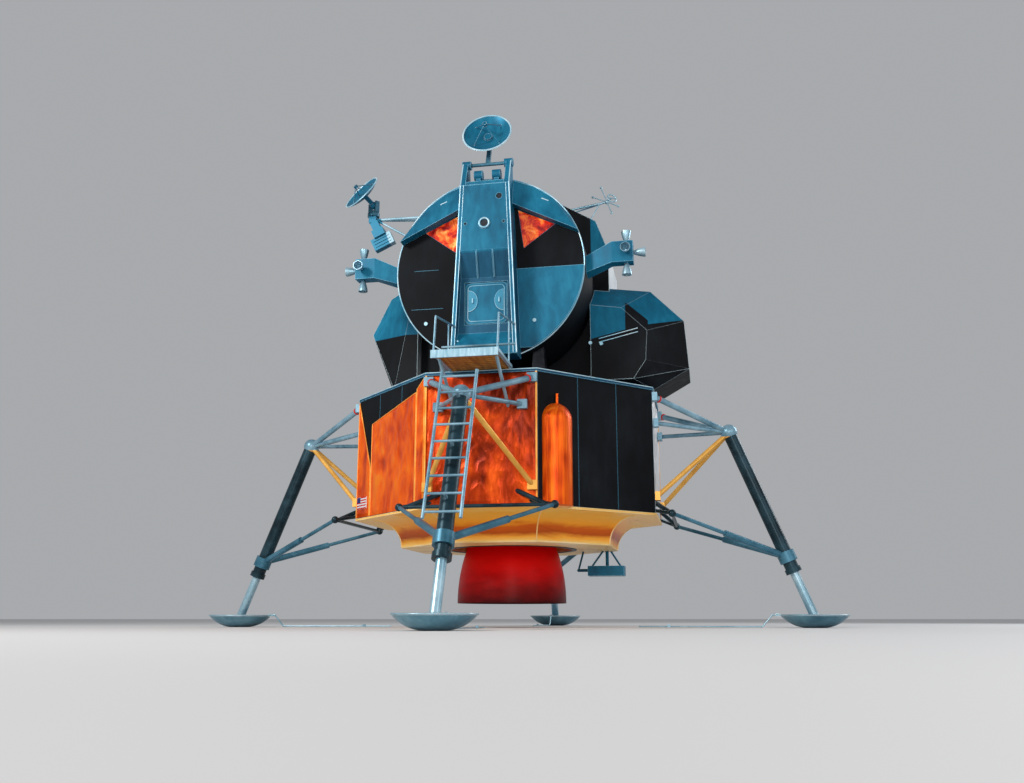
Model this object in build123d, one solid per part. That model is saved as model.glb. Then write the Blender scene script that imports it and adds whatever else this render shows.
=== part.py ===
from build123d import *
import math
import os

# Two-stage lunar lander on four legs. Millimetres, +Z up.
# The origin is on the floor under the lander's upright axis. The front, with ladder and porch, faces -Y.
# Each leg is drawn once with its outboard side along +X, then turned to its place.

# Fits and clearances
SEAT_GAP = 0.3
PIN_GAP = 0.1
SWING_GAP = 8.0

# Landing gear
LEG_ANGLES = {"right": 0, "rear": 90, "left": 180, "front": 270}
PAD_REACH = 4230.0
PAD_RADIUS = 470.0
PAD_DEPTH = 180.0
PAD_FLAT_RADIUS = 110.0
PAD_WALL = 12.0
PAD_RIM_RADIUS = 11.0
ANKLE_HEIGHT = 150.0
ANKLE_RADIUS = 66.0
KNEE_REACH = 3200.0
KNEE_HEIGHT = 2750.0
KNEE_RADIUS = 118.0
PISTON_RADIUS = 62.0
CYLINDER_RADIUS = 95.0
CYLINDER_START = 640.0
COLLAR_RADIUS = 112.0
COLLAR_LENGTH = 70.0
CLAMP_START = 800.0
CLAMP_LENGTH = 150.0
CLAMP_RADIUS = 124.0
SIDE_STRUT_TIP = (2380.0, 1000.0, 1500.0)
SIDE_STRUT_RADIUS = 45.0
SIDE_ROD_RADIUS = 27.0
SIDE_STRUT_SHARE = 0.55
TIP_RADIUS = 52.0
TRUSS_RADIUS = 24.0
LINK_RADIUS = 32.0
OUTRIGGER_RADIUS = 40.0
OUTRIGGER_MID_RADIUS = 30.0
OUTRIGGER_LOW_RADIUS = 34.0
LUG = (70.0, 130.0, 120.0)

# Surface probes under the pads, folded flat on the floor at rest
PROBE_LENGTH = 1900.0
PROBE_RADIUS = 9.0
PROBE_FLOOR_GAP = 6.0
PROBE_CRANK = 160.0
PROBE_STUB = 60.0
PROBE_CRANK_RUN = 200.0
PROBE_HINGE_OUT = 34.0
PROBE_PIN_RADIUS = 8.0
PROBE_EYE_RADIUS = 20.0
PROBE_EYE_WIDTH = 30.0

# Descent stage
STAGE_FLAT = 2150.0
FACE_HALF = 750.0
PLATE_Z = 1130.0
PLATE_WALL = 20.0
PLATE_FLAT = 1500.0
PLATE_FACE_HALF = PLATE_FLAT * math.tan(math.radians(22.5))
NOZZLE_HOLE_RADIUS = 876.0
WALL_Z = 1500.0
LEDGE = 30.0
LEDGE_LIP = 12.0
COVE_RADIUS = 370.0
DECK_Z = 3300.0
DECK_WALL = 40.0
DECK_LIP = 14.0
PANEL_WALL = 20.0
PANEL_SEAM = 3.0
FOIL_WALL = 14.0
BAY_RADIUS = 900.0
BAY_TOP = 2720.0

# Descent engine
GIMBAL_Z = 2150.0
THROAT_RADIUS = 120.0
NOZZLE_EXIT_Z = 340.0
NOZZLE_EXIT_RADIUS = 790.0
NOZZLE_MID_Z = 1130.0
NOZZLE_MID_RADIUS = 655.0
NOZZLE_THROAT_Z = 1960.0
NOZZLE_WALL = 14.0
CHAMBER_RADIUS = 200.0
CHAMBER_TOP = 2440.0
RING_INNER = 290.0
RING_WALL = 60.0
RING_HEIGHT = 90.0
GIMBAL_PIN_RADIUS = 28.0

# Crew cabin, a drum lying along Y
CABIN_RADIUS = 1340.0
CABIN_Z = 4900.0
CABIN_WALL = 40.0
CABIN_FRONT_Y = -1650.0
CABIN_BACK_Y = -500.0
FACE_WALL = 30.0
FLOOR_Z = 3860.0

# Hatch column on the cabin's face
COLUMN_FRONT_Y = -2000.0
COLUMN_TOP_Z = 6010.0
COLUMN_FOOT_Z = 3560.0
COLUMN_TOP_HALF = 343.0
COLUMN_FOOT_HALF = 450.0
COLUMN_WALL = 28.0
RECESS_DEPTH = 140.0
RECESS_SIDE = 45.0
RECESS_TOP_Z = 5050.0
RECESS_Z = (3900.0, 4690.0)
SILL_FOOT_Z = 3700.0
SLANT_RIB_PLACES = (-115.0, 115.0)
SLANT_RIB_HEIGHT = 20.0
SLANT_RIB_HALF = 8.0
LAMP_Z = 5430.0
LAMP_RADIUS = 82.0
LAMP_BORE_RADIUS = 54.0
LAMP_RIM = 18.0
# Round ports in the column's front: across, height, radius
PORTS = [(-270.0, 5440.0, 20.0), (270.0, 5440.0, 20.0), (205.0, 5820.0, 42.0)]
PORT_DEPTH = 16.0
HATCH_FRONT_Y = COLUMN_FRONT_Y + RECESS_DEPTH
HATCH_Z = 4325.0
HATCH_OPENING = 600.0
HATCH_LAP = 16.0
HATCH_WALL = 30.0
HATCH_BOSS_GAP = 10.0
HATCH_PIN_RADIUS = 6.0
HATCH_EYE_RADIUS = 12.0
HATCH_HINGE_OUT = 22.0
HATCH_HINGE_SPREAD = 205.0

# Brow over the right window: the ends of its straight lower edge, and its stretch of rim in degrees
BROW_EDGE = [(330.0, 5790.0), (1264.0, 5325.0)]
BROW_RIM = (76, 62, 48, 34, 18.5)
BROW_DEPTH = 150.0
BROW_SET_IN = 4.0
# Raised panel between the column and the rim, low on the right of the face
FACE_PANEL_WALL = 40.0
FACE_PANEL_Z = (3715.0, 4850.0)
FACE_PANEL_SET_IN = 8.0

# Midsection, tanks and rear bay
MID_BACK_Y = 900.0
MID_TOP_Z = 6430.0
MID_FOOT_Z = 3420.0
TUNNEL_Y = 200.0
TUNNEL_RADIUS = 400.0
TUNNEL_WALL = 22.0
TUNNEL_TOP_Z = 6570.0
CHAMBER_HALF = 640.0
CHAMBER_BACK_Y = 760.0
CHAMBER_ROOF_Z = 6090.0
# Rear bay, from the midsection backwards: half width, place along Y, foot and top
REAR_BAY = [
    (1100.0, MID_BACK_Y, 3760.0, 5900.0),
    (1100.0, 1480.0, 3900.0, 5760.0),
    (960.0, 1660.0, 4020.0, 5640.0),
]
# Posts that stand the cabin stage on the deck: height, stretch across and stretch along Y
FRONT_POST = [
    (DECK_Z, (560.0, 760.0), (-1500.0, -1250.0)),
    (4100.0, (600.0, 700.0), (-1440.0, -1300.0)),
]
REAR_POST = ((700.0, 900.0), (560.0, 760.0))
REAR_POST_LAP = 50.0

# Antennas
RADAR_PIVOT = (0.0, -1790.0, 6400.0)
RADAR_AIM = 20.0
RADAR_CHEEK_WALL = 70.0
RADAR_HOUSING = (240.0, 362.0)
RADAR_HOUSING_RADIUS = 62.0
RADAR_SHAFT_RADIUS = 25.0
RADAR_SHAFT_REACH = 322.0
RADAR_SHELF_Z = (6010.0, 6060.0)
RADAR_GEAR_Z = 6235.0
RADAR_GEAR_RADIUS = 72.0
RADAR_DISH_Z = 6800.0
RADAR_PIN_OUT = 80.0
RADAR_DISH_RADIUS = 360.0
RADAR_DISH_DEPTH = 105.0
STEER_BASE = (-2200.0, -300.0, 6390.0)
STEER_BASE_HALF = 60.0
STEER_BASE_DEPTH = 110.0
STEER_PIVOT_Z = 6590.0
STEER_BOX_LEAN = 25.0
STEER_BOX = (340.0, 120.0, 200.0)
STEER_DISH_RADIUS = 340.0
STEER_DISH_DEPTH = 95.0
DISH_WALL = 8.0

# Thruster clusters
QUAD_X = 1900.0
QUAD_Y = 1500.0
QUAD_Z = 5040.0
QUAD_HALF = 95.0
QUAD_TALL = 150.0
ARM_SHOULDER = 195.0
ARM_ROOT_Z = (4740.0, 4940.0)
ARM_ROOT_Y = (1150.0, 1480.0)
# How far the arms' roots reach into the cabin in front and into the rear bay
ARM_IN_CABIN = 200.0
ARM_IN_BAY = 50.0
BELL_LENGTH = 165.0
BELL_EXIT_RADIUS = 68.0
BELL_THROAT_RADIUS = 24.0
BELL_WALL = 6.0

# Porch and ladder
PORCH_Z = 3350.0
PORCH_HALF = 425.0
PORCH_FRONT_Y = -3060.0
PORCH_WALL = 40.0
LADDER_OFFSET = 190.0
LADDER_HALF = 215.0
LADDER_START = 1040.0
LADDER_END = 3010.0
LADDER_RAIL_RADIUS = 20.0
RUNG_RADIUS = 15.0
RUNG_COUNT = 9

# Landing radar under the right of the base
LANDING_BOX = ((1060.0, 1600.0), (450.0, 750.0), (745.0, 890.0))
LANDING_SINK = 10.0
LANDING_ARM_RADIUS = 22.0
LANDING_ARM_END = (905.0, 600.0, 830.0)
LANDING_STAY_TOP = (980.0, 640.0)
LANDING_STAY_RADIUS = 14.0
# Its struts: place on the box, place on the bottom plate, radius
LANDING_STRUTS = [
    ((1340.0, 600.0), (1340.0, 600.0), 24.0),
    ((1120.0, 500.0), (1290.0, 560.0), 14.0),
    ((1540.0, 700.0), (1390.0, 640.0), 14.0),
]


def tube(start, end, radius):
    """A round bar between two points."""
    run = Vector(*end) - Vector(*start)
    return Solid.make_cylinder(radius, run.length, Plane(origin=start, z_dir=run))


def ball(centre, radius):
    return Pos(*centre) * Solid.make_sphere(radius, angle1=-90, angle2=90, angle3=360)


def block(x_span, y_span, z_span):
    """A box from its low and high limits along each axis."""
    spans = (x_span, y_span, z_span)
    middle = [(low + high) / 2 for low, high in spans]
    return Pos(*middle) * Box(*[high - low for low, high in spans])


def hull(points):
    return ConvexPolyhedron(points)


def upright(outline, z_low, z_high):
    """A prism standing on a flat XY outline."""
    face = make_face(Polyline(*[(x, y, z_low) for x, y in outline], close=True))
    return extrude(face, z_high - z_low, dir=(0, 0, 1))


def facing(outline, y_front, y_back):
    """A prism along Y from an outline of X and Z values."""
    face = make_face(Polyline(*[(x, y_front, z) for x, z in outline], close=True))
    return extrude(face, y_back - y_front, dir=(0, 1, 0))


def sideways(outline, half, centre=0.0):
    """A prism along X, 2 * half wide, from an outline of Y and Z values."""
    face = make_face(Polyline(*[(centre - half, y, z) for y, z in outline], close=True))
    return extrude(face, 2 * half, dir=(1, 0, 0))


def turned(section):
    """A solid turned about Z from the edges of a closed section of radius and height."""
    return revolve(Plane.XZ * make_face(Wire(section)), Axis.Z)


def along(start, end, distance):
    """The point at a distance from start towards end."""
    way = (Vector(*end) - Vector(*start)).normalized()
    return tuple(Vector(*start) + way * distance)


def mirrored(point):
    return (point[0], -point[1], point[2])


def joined(shapes):
    """The union of touching pieces."""
    return Part() + [piece for shape in shapes for piece in shape.solids()]


def solids_of(shapes):
    return [solid for shape in shapes for solid in shape.solids()]


def write(name, *shapes):
    export_step(Compound(solids_of(shapes)), f"parts/{name}.step")


def at_each_leg(shape):
    return [Rot(0, 0, angle) * shape for angle in LEG_ANGLES.values()]


def octagon(flat, half):
    """Corners of an octagon whose leg faces are 2 * half wide and lie at flat."""
    return [
        (flat, -half), (flat, half), (half, flat), (-half, flat),
        (-flat, half), (-flat, -half), (-half, -flat), (half, -flat),
    ]


# Points of one leg, drawn outboard along +X
ANKLE = (PAD_REACH, 0.0, ANKLE_HEIGHT)
KNEE = (KNEE_REACH, 0.0, KNEE_HEIGHT)
STRUT_WAY = (Vector(*KNEE) - Vector(*ANKLE)).normalized()
STRUT_OUT = Vector(STRUT_WAY.Z, 0, -STRUT_WAY.X)
CLAMP_CENTRE = along(ANKLE, KNEE, CLAMP_START + CLAMP_LENGTH / 2)
CYLINDER_FOOT = along(ANKLE, KNEE, CYLINDER_START)

# Where the leg's tubes meet the stage's leg face: sideways place, height, tube radius
OUTRIGGER_FEET = [
    (FACE_HALF - 60, DECK_Z - 130, OUTRIGGER_RADIUS),
    (FACE_HALF - 190, DECK_Z - 480, OUTRIGGER_MID_RADIUS),
    (FACE_HALF - 60, WALL_Z + 270, OUTRIGGER_LOW_RADIUS),
]
# The side truss on the leg face: sideways place at the crossbar, place on the wall, height, radius
TRUSS_FEET = [
    (SIDE_STRUT_TIP[1], FACE_HALF - 150, WALL_Z + LEDGE + 60, TRUSS_RADIUS),
    (SIDE_STRUT_TIP[1] - 100, FACE_HALF - 330, WALL_Z + 240, LINK_RADIUS),
]


def make_pad():
    """A shallow dish with a rolled rim and a socket for the strut's ball."""
    bowl_height = PAD_DEPTH - PAD_RIM_RADIUS
    rim = PAD_RADIUS - PAD_RIM_RADIUS
    outer_mid = (PAD_FLAT_RADIUS + (rim - PAD_FLAT_RADIUS) * 0.55, bowl_height * 0.27)
    inner_mid = (outer_mid[0] - PAD_WALL * 0.3, outer_mid[1] + PAD_WALL)
    section = [
        Line((0, 0), (PAD_FLAT_RADIUS, 0)),
        ThreePointArc((PAD_FLAT_RADIUS, 0), outer_mid, (rim, bowl_height)),
        Line((rim, bowl_height), (rim - PAD_WALL, bowl_height)),
        ThreePointArc((rim - PAD_WALL, bowl_height), inner_mid, (PAD_FLAT_RADIUS, PAD_WALL)),
        Line((PAD_FLAT_RADIUS, PAD_WALL), (0, PAD_WALL)),
        Line((0, PAD_WALL), (0, 0)),
    ]
    dish = turned(section)
    rim_ring = Pos(0, 0, bowl_height) * Solid.make_torus(rim - PAD_WALL / 2, PAD_RIM_RADIUS)
    socket = Pos(0, 0, PAD_WALL / 2) * Solid.make_cone(
        ANKLE_RADIUS * 1.9, ANKLE_RADIUS * 1.25, ANKLE_HEIGHT - PAD_WALL / 2
    )
    dish = Pos(PAD_REACH, 0, 0) * joined([dish, rim_ring, socket])
    foot = dish - ball(ANKLE, ANKLE_RADIUS) - tube(ANKLE, CYLINDER_FOOT, PISTON_RADIUS)
    return joined([foot] + probe_ears())


HINGE = (PAD_REACH - PAD_RADIUS - PROBE_HINGE_OUT, 0.0, PROBE_CRANK + PROBE_RADIUS + PROBE_FLOOR_GAP)


def probe_ears():
    """Two ears on the pad's inboard rim, with the pin that carries the probe."""
    ears = []
    for side in (-1, 1):
        inner = side * (PROBE_EYE_WIDTH / 2 + 2)
        outer = side * (PROBE_EYE_WIDTH / 2 + 14)
        sides = (min(inner, outer), max(inner, outer))
        reach = PAD_REACH - PAD_RADIUS + PAD_RIM_RADIUS
        ears.append(block((HINGE[0] - 18, reach), sides, (HINGE[2] - 18, HINGE[2] + 14)))
    half = PROBE_EYE_WIDTH / 2 + 14
    pin = tube((HINGE[0], -half, HINGE[2]), (HINGE[0], half, HINGE[2]), PROBE_PIN_RADIUS)
    return ears + [pin]


def make_probe():
    """A cranked rod that lies inboard just above the floor, hung from its eye."""
    x, y, z = HINGE
    knee = (x - PROBE_STUB, y, z)
    low = (x - PROBE_CRANK_RUN, y, z - PROBE_CRANK)
    tip = (x - PROBE_LENGTH, y, z - PROBE_CRANK)
    eye = tube(
        (x, -PROBE_EYE_WIDTH / 2, z), (x, PROBE_EYE_WIDTH / 2, z), PROBE_EYE_RADIUS
    )
    clip_middle = (x - PROBE_LENGTH * 0.78, y, low[2])
    pieces = [
        eye,
        tube((x, y, z), knee, PROBE_RADIUS * 1.3),
        ball(knee, PROBE_RADIUS * 1.3),
        tube(knee, low, PROBE_RADIUS * 1.15),
        ball(low, PROBE_RADIUS * 1.15),
        tube(low, tip, PROBE_RADIUS),
        block(
            (clip_middle[0] - 22, clip_middle[0] + 22),
            (-16, 16),
            (clip_middle[2] - PROBE_RADIUS, clip_middle[2] + 26),
        ),
    ]
    bore = tube((x, -PROBE_EYE_WIDTH, z), (x, PROBE_EYE_WIDTH, z), PROBE_PIN_RADIUS + PIN_GAP)
    return joined(pieces) - bore


def make_piston():
    return joined([ball(ANKLE, ANKLE_RADIUS), tube(ANKLE, CYLINDER_FOOT, PISTON_RADIUS)])


def make_cylinder():
    """The strut's outer tube, from its collar up to the knee."""
    barrel = tube(CYLINDER_FOOT, KNEE, CYLINDER_RADIUS)
    collar = tube(CYLINDER_FOOT, along(ANKLE, KNEE, CYLINDER_START + COLLAR_LENGTH), COLLAR_RADIUS)
    return joined([barrel, collar]) - make_outrigger()


def make_side_struts():
    """A clamp round the strut with the pair of side struts that run to the truss."""
    clamp = tube(
        along(ANKLE, KNEE, CLAMP_START), along(ANKLE, KNEE, CLAMP_START + CLAMP_LENGTH), CLAMP_RADIUS
    )
    pieces = [clamp]
    for tip in (SIDE_STRUT_TIP, mirrored(SIDE_STRUT_TIP)):
        run = (Vector(*tip) - Vector(*CLAMP_CENTRE)).length
        middle = along(CLAMP_CENTRE, tip, run * SIDE_STRUT_SHARE)
        pieces.append(tube(CLAMP_CENTRE, middle, SIDE_STRUT_RADIUS))
        pieces.append(tube(middle, tip, SIDE_ROD_RADIUS))
    return joined(pieces) - make_truss() - tube(ANKLE, KNEE, CYLINDER_RADIUS)


def face_lug(side_place, height):
    """A lug that stands on the stage's leg face."""
    depth, width, tall = LUG
    return block(
        (STAGE_FLAT, STAGE_FLAT + depth),
        (side_place - width / 2, side_place + width / 2),
        (height - tall / 2, height + tall / 2),
    )


def make_truss():
    """The crossbar between the side struts' tips, its ties and its two locking links."""
    tip, far_tip = SIDE_STRUT_TIP, mirrored(SIDE_STRUT_TIP)
    pieces = [tube(tip, far_tip, TRUSS_RADIUS), ball(tip, TIP_RADIUS), ball(far_tip, TIP_RADIUS)]
    wall = block((0, STAGE_FLAT), (-STAGE_FLAT, STAGE_FLAT), (0, DECK_Z))
    for bar_place, wall_place, height, radius in TRUSS_FEET:
        for side in (-1, 1):
            start = (tip[0], side * bar_place, tip[2])
            end = (STAGE_FLAT - 60, side * wall_place, height)
            pieces.append(tube(start, end, radius))
    return joined(pieces) - wall


def make_outrigger():
    """The fixed tubes that hold the knee off the stage's upper and lower corners."""
    pieces = [ball(KNEE, KNEE_RADIUS)]
    for place, height, radius in OUTRIGGER_FEET:
        for side in (-1, 1):
            pieces.append(tube(KNEE, (STAGE_FLAT + LUG[0] * 0.4, side * place, height), radius))
            pieces.append(face_lug(side * place, height))
    return joined(pieces)


def make_ladder():
    """Two rails and their rungs, held off the front strut."""

    def spot(distance, side, offset):
        point = Vector(*ANKLE) + STRUT_WAY * distance + STRUT_OUT * offset
        return (point.X, side, point.Z)

    pieces = []
    for side in (-LADDER_HALF, LADDER_HALF):
        start, end = spot(LADDER_START, side, LADDER_OFFSET), spot(LADDER_END, side, LADDER_OFFSET)
        pieces.append(tube(start, end, LADDER_RAIL_RADIUS))
    pitch = (LADDER_END - LADDER_START - 160) / (RUNG_COUNT - 1)
    for rung in range(RUNG_COUNT):
        distance = LADDER_START + 80 + rung * pitch
        start = spot(distance, -LADDER_HALF, LADDER_OFFSET)
        end = spot(distance, LADDER_HALF, LADDER_OFFSET)
        pieces.append(tube(start, end, RUNG_RADIUS))
        if rung in (1, 4, 7):
            near, far = spot(distance, 0, LADDER_OFFSET), spot(distance, 0, 0)
            pieces.append(tube(near, far, RUNG_RADIUS * 1.3))
    ladder = joined(pieces) - tube(ANKLE, KNEE, CYLINDER_RADIUS) - ball(KNEE, KNEE_RADIUS)
    return Rot(0, 0, LEG_ANGLES["front"]) * ladder


def make_skirt():
    """An octagonal base whose sides sweep inwards in a hollow curve to the bottom plate."""
    skirt = upright(octagon(STAGE_FLAT + LEDGE_LIP, FACE_HALF), PLATE_Z, WALL_Z + LEDGE)
    arc_outer = PLATE_FLAT + COVE_RADIUS
    reach = STAGE_FLAT * 1.3
    arc_mid = (
        arc_outer - COVE_RADIUS * math.cos(math.radians(45)),
        PLATE_Z + COVE_RADIUS * math.sin(math.radians(45)),
    )
    section = Wire([
        Line((PLATE_FLAT, PLATE_Z - 10), (PLATE_FLAT, PLATE_Z)),
        ThreePointArc((PLATE_FLAT, PLATE_Z), arc_mid, (arc_outer, PLATE_Z + COVE_RADIUS)),
        Line((arc_outer, PLATE_Z + COVE_RADIUS), (reach, WALL_Z)),
        Line((reach, WALL_Z), (reach, PLATE_Z - 10)),
        Line((reach, PLATE_Z - 10), (PLATE_FLAT, PLATE_Z - 10)),
    ])
    cutter = Pos(0, reach, 0) * extrude(Plane.XZ * make_face(section), 2 * reach)
    for turn in range(8):
        skirt = skirt - Rot(0, 0, 45 * turn) * cutter
    return skirt - engine_well()


def engine_well():
    return Pos(0, 0, PLATE_Z - PLATE_WALL) * Solid.make_cylinder(
        BAY_RADIUS, BAY_TOP - PLATE_Z + PLATE_WALL
    )


def make_core():
    """The closed body of the descent stage, with the well that takes the engine."""
    flat = STAGE_FLAT - PANEL_WALL
    return upright(octagon(flat, FACE_HALF - 8), WALL_Z + LEDGE, DECK_Z - DECK_WALL) - engine_well()


def wall_frame(turn):
    """The place of a wall panel: its middle, with X along the face and Y inwards."""
    return Rot(0, 0, 45 * turn + 90)


def make_wall_panels():
    panels = []
    diagonal_flat = (STAGE_FLAT + FACE_HALF) / math.sqrt(2)
    diagonal_half = (STAGE_FLAT - FACE_HALF) / math.sqrt(2)
    z_span = (WALL_Z + LEDGE, DECK_Z - DECK_WALL)
    core_drop = (PANEL_WALL + 8) / math.sqrt(2)
    for turn in range(8):
        leg_face = turn % 2 == 0
        flat = STAGE_FLAT if leg_face else diagonal_flat
        half = (FACE_HALF if leg_face else diagonal_half) - PANEL_SEAM
        wall = PANEL_WALL if leg_face else core_drop
        outline = [(-half, -flat), (half, -flat), (half - 12, -flat + wall), (-half + 12, -flat + wall)]
        panels.append(wall_frame(turn) * upright(outline, *z_span))
    return panels


def diagonal_plate(turn, outline, wall):
    """A raised sheet on a diagonal face; outline is across and height, from the face's middle."""
    flat = (STAGE_FLAT + FACE_HALF) / math.sqrt(2)
    return wall_frame(turn) * facing(outline, -flat - wall, -flat)


# Raised foil sheets of the left front face: across and height
DIAGONAL_HALF = (STAGE_FLAT - FACE_HALF) / math.sqrt(2)
FOIL_OUTLINES = [
    [(-DIAGONAL_HALF + 6, WALL_Z + 40), (-DIAGONAL_HALF + 6, DECK_Z - 60),
     (-DIAGONAL_HALF + 420, 2240), (-DIAGONAL_HALF + 420, WALL_Z + 40)],
    [(-DIAGONAL_HALF + 450, WALL_Z + 40), (-DIAGONAL_HALF + 450, 2850),
     (DIAGONAL_HALF - 230, 3080), (DIAGONAL_HALF - 230, WALL_Z + 40)],
    [(DIAGONAL_HALF - 205, WALL_Z + 40), (DIAGONAL_HALF - 205, 3120),
     (DIAGONAL_HALF - 6, DECK_Z - 60), (DIAGONAL_HALF - 6, WALL_Z + 40)],
]


def make_foil_panels():
    sheets = []
    for turn in (5, 3, 1):
        for outline in FOIL_OUTLINES:
            flip = -1 if turn == 3 else 1
            points = [(flip * across, height) for across, height in outline]
            sheets.append(diagonal_plate(turn, points, FOIL_WALL))
    return sheets


def make_canister():
    """The upright round-topped canister beside the front corner of the black face."""
    radius, foot, top = 230.0, WALL_Z + LEDGE, 2640.0
    flat = (STAGE_FLAT + FACE_HALF) / math.sqrt(2)
    centre = (-DIAGONAL_HALF + 300, -flat + 40, foot)
    body = Pos(*centre) * Solid.make_cylinder(radius, top - foot)
    dome = ball((centre[0], centre[1], top), radius)
    rod = tube((centre[0], centre[1] - 60, top), (centre[0], centre[1] - 60, top + radius + 120), 18)
    ahead = block((-STAGE_FLAT, STAGE_FLAT), (-flat - 600, -flat), (0, DECK_Z))
    return wall_frame(7) * (joined([body, dome, rod]) & ahead)


def make_deck():
    return upright(octagon(STAGE_FLAT + DECK_LIP, FACE_HALF), DECK_Z - DECK_WALL, DECK_Z)


def make_bottom_plate():
    plate = upright(octagon(PLATE_FLAT, PLATE_FACE_HALF), PLATE_Z - PLATE_WALL, PLATE_Z)
    return plate - Pos(0, 0, PLATE_Z - PLATE_WALL) * Solid.make_cylinder(
        NOZZLE_HOLE_RADIUS, PLATE_WALL
    )


def make_engine():
    """Chamber block and hollow bell, with the pins that sit in the gimbal ring."""
    outer_mid = (NOZZLE_MID_RADIUS, NOZZLE_MID_Z)
    inner_mid = (NOZZLE_MID_RADIUS - NOZZLE_WALL, NOZZLE_MID_Z)
    throat, exit_point = (THROAT_RADIUS, NOZZLE_THROAT_Z), (NOZZLE_EXIT_RADIUS, NOZZLE_EXIT_Z)
    inner_throat = (THROAT_RADIUS - NOZZLE_WALL, NOZZLE_THROAT_Z)
    inner_exit = (NOZZLE_EXIT_RADIUS - NOZZLE_WALL, NOZZLE_EXIT_Z)
    section = [
        ThreePointArc(throat, outer_mid, exit_point),
        Line(exit_point, inner_exit),
        ThreePointArc(inner_exit, inner_mid, inner_throat),
        Line(inner_throat, throat),
    ]
    bell = turned(section)
    chamber = Pos(0, 0, NOZZLE_THROAT_Z) * Solid.make_cylinder(
        CHAMBER_RADIUS, CHAMBER_TOP - NOZZLE_THROAT_Z
    )
    pins = tube(
        (0, -RING_INNER - RING_WALL, GIMBAL_Z), (0, RING_INNER + RING_WALL, GIMBAL_Z), GIMBAL_PIN_RADIUS
    )
    return joined([bell, chamber, pins])


def make_gimbal_ring():
    outer = RING_INNER + RING_WALL
    ring = Pos(0, 0, GIMBAL_Z - RING_HEIGHT / 2) * (
        Solid.make_cylinder(outer, RING_HEIGHT) - Solid.make_cylinder(RING_INNER, RING_HEIGHT)
    )
    pins = [
        tube((side * (outer - RING_WALL / 2), 0, GIMBAL_Z), (side * (outer + 90), 0, GIMBAL_Z),
             GIMBAL_PIN_RADIUS)
        for side in (-1, 1)
    ]
    bore = tube((0, -outer - 10, GIMBAL_Z), (0, outer + 10, GIMBAL_Z), GIMBAL_PIN_RADIUS + PIN_GAP)
    return joined([ring] + pins) - bore


def make_engine_beams():
    """Two beams from the bay's wall that carry the gimbal ring's pins."""
    beams = []
    well = Pos(0, 0, PLATE_Z) * Solid.make_cylinder(BAY_RADIUS, BAY_TOP - PLATE_Z)
    start = RING_INNER + RING_WALL + SWING_GAP
    for side in (-1, 1):
        spans = sorted((side * start, side * (BAY_RADIUS + 50)))
        beam = block(tuple(spans), (-60, 60), (GIMBAL_Z - 60, GIMBAL_Z + 60)) & well
        socket = tube((side * (start - 20), 0, GIMBAL_Z),
                      (side * (RING_INNER + RING_WALL + 90 + SEAT_GAP), 0, GIMBAL_Z),
                      GIMBAL_PIN_RADIUS + PIN_GAP)
        beams.append(beam - socket)
    return beams


def drum(radius, y_front, y_back):
    """A solid drum on the cabin's axis."""
    return tube((0, y_front, CABIN_Z), (0, y_back, CABIN_Z), radius)


def make_cabin():
    """The cabin's drum with its flat floor."""
    wall = drum(CABIN_RADIUS, CABIN_FRONT_Y + FACE_WALL, CABIN_BACK_Y)
    inside = drum(CABIN_RADIUS - CABIN_WALL, CABIN_FRONT_Y, CABIN_BACK_Y)
    under_floor = block((-CABIN_RADIUS, CABIN_RADIUS), (CABIN_FRONT_Y, CABIN_BACK_Y), (3000, FLOOR_Z))
    return wall - (inside - under_floor)


# Window outline on the right half of the face: across and height
WINDOW = [(410, 5730), (930, 5486), (490, 5163)]


def column_half(height):
    share = (COLUMN_TOP_Z - height) / (COLUMN_TOP_Z - COLUMN_FOOT_Z)
    return COLUMN_TOP_HALF + share * (COLUMN_FOOT_HALF - COLUMN_TOP_HALF)


def flipped(outline, side):
    return [(side * across, height) for across, height in outline]


def make_face_wall():
    """The cabin's front wall with its window openings and the way through to the hatch."""
    face = drum(CABIN_RADIUS, CABIN_FRONT_Y, CABIN_FRONT_Y + FACE_WALL)
    for side in (-1, 1):
        face = face - facing(flipped(WINDOW, side), CABIN_FRONT_Y - 1, CABIN_FRONT_Y + FACE_WALL + 1)
    low, high = FLOOR_Z, RECESS_Z[1]
    inner_low, inner_high = column_half(low) - COLUMN_WALL, column_half(high) - COLUMN_WALL
    way = [(-inner_low, low), (inner_low, low), (inner_high, high), (-inner_high, high)]
    return face - facing(way, CABIN_FRONT_Y - 1, CABIN_FRONT_Y + FACE_WALL + 1)


def make_glass():
    panes = []
    for side in (-1, 1):
        pane = facing(flipped(WINDOW, side), CABIN_FRONT_Y + 8, CABIN_FRONT_Y + 20)
        panes.append(pane)
    return panes


def make_face_panel():
    """The raised panel low on the right of the face, from the column out to the rim."""
    front = CABIN_FRONT_Y - FACE_PANEL_WALL
    disc = drum(CABIN_RADIUS - FACE_PANEL_SET_IN, front, CABIN_FRONT_Y)
    span = block((0, CABIN_RADIUS), (front, CABIN_FRONT_Y), FACE_PANEL_Z)
    return (disc & span) - column_block()


def make_brows():
    """Hoods over the two windows, deepest at their lower edge."""
    brows = []
    above = block((-COLUMN_TOP_HALF, COLUMN_TOP_HALF), (COLUMN_FRONT_Y, CABIN_FRONT_Y),
                  (COLUMN_TOP_Z, RADAR_PIVOT[2]))
    rim_radius = CABIN_RADIUS - BROW_SET_IN
    rim = [
        (rim_radius * math.cos(math.radians(angle)), CABIN_Z + rim_radius * math.sin(math.radians(angle)))
        for angle in BROW_RIM
    ]
    for side in (-1, 1):
        points = [(side * x, CABIN_FRONT_Y, z) for x, z in BROW_EDGE + rim]
        points += [(side * x, CABIN_FRONT_Y - BROW_DEPTH, z) for x, z in BROW_EDGE]
        brows.append(hull(points) - column_block() - above)
    return brows


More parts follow.
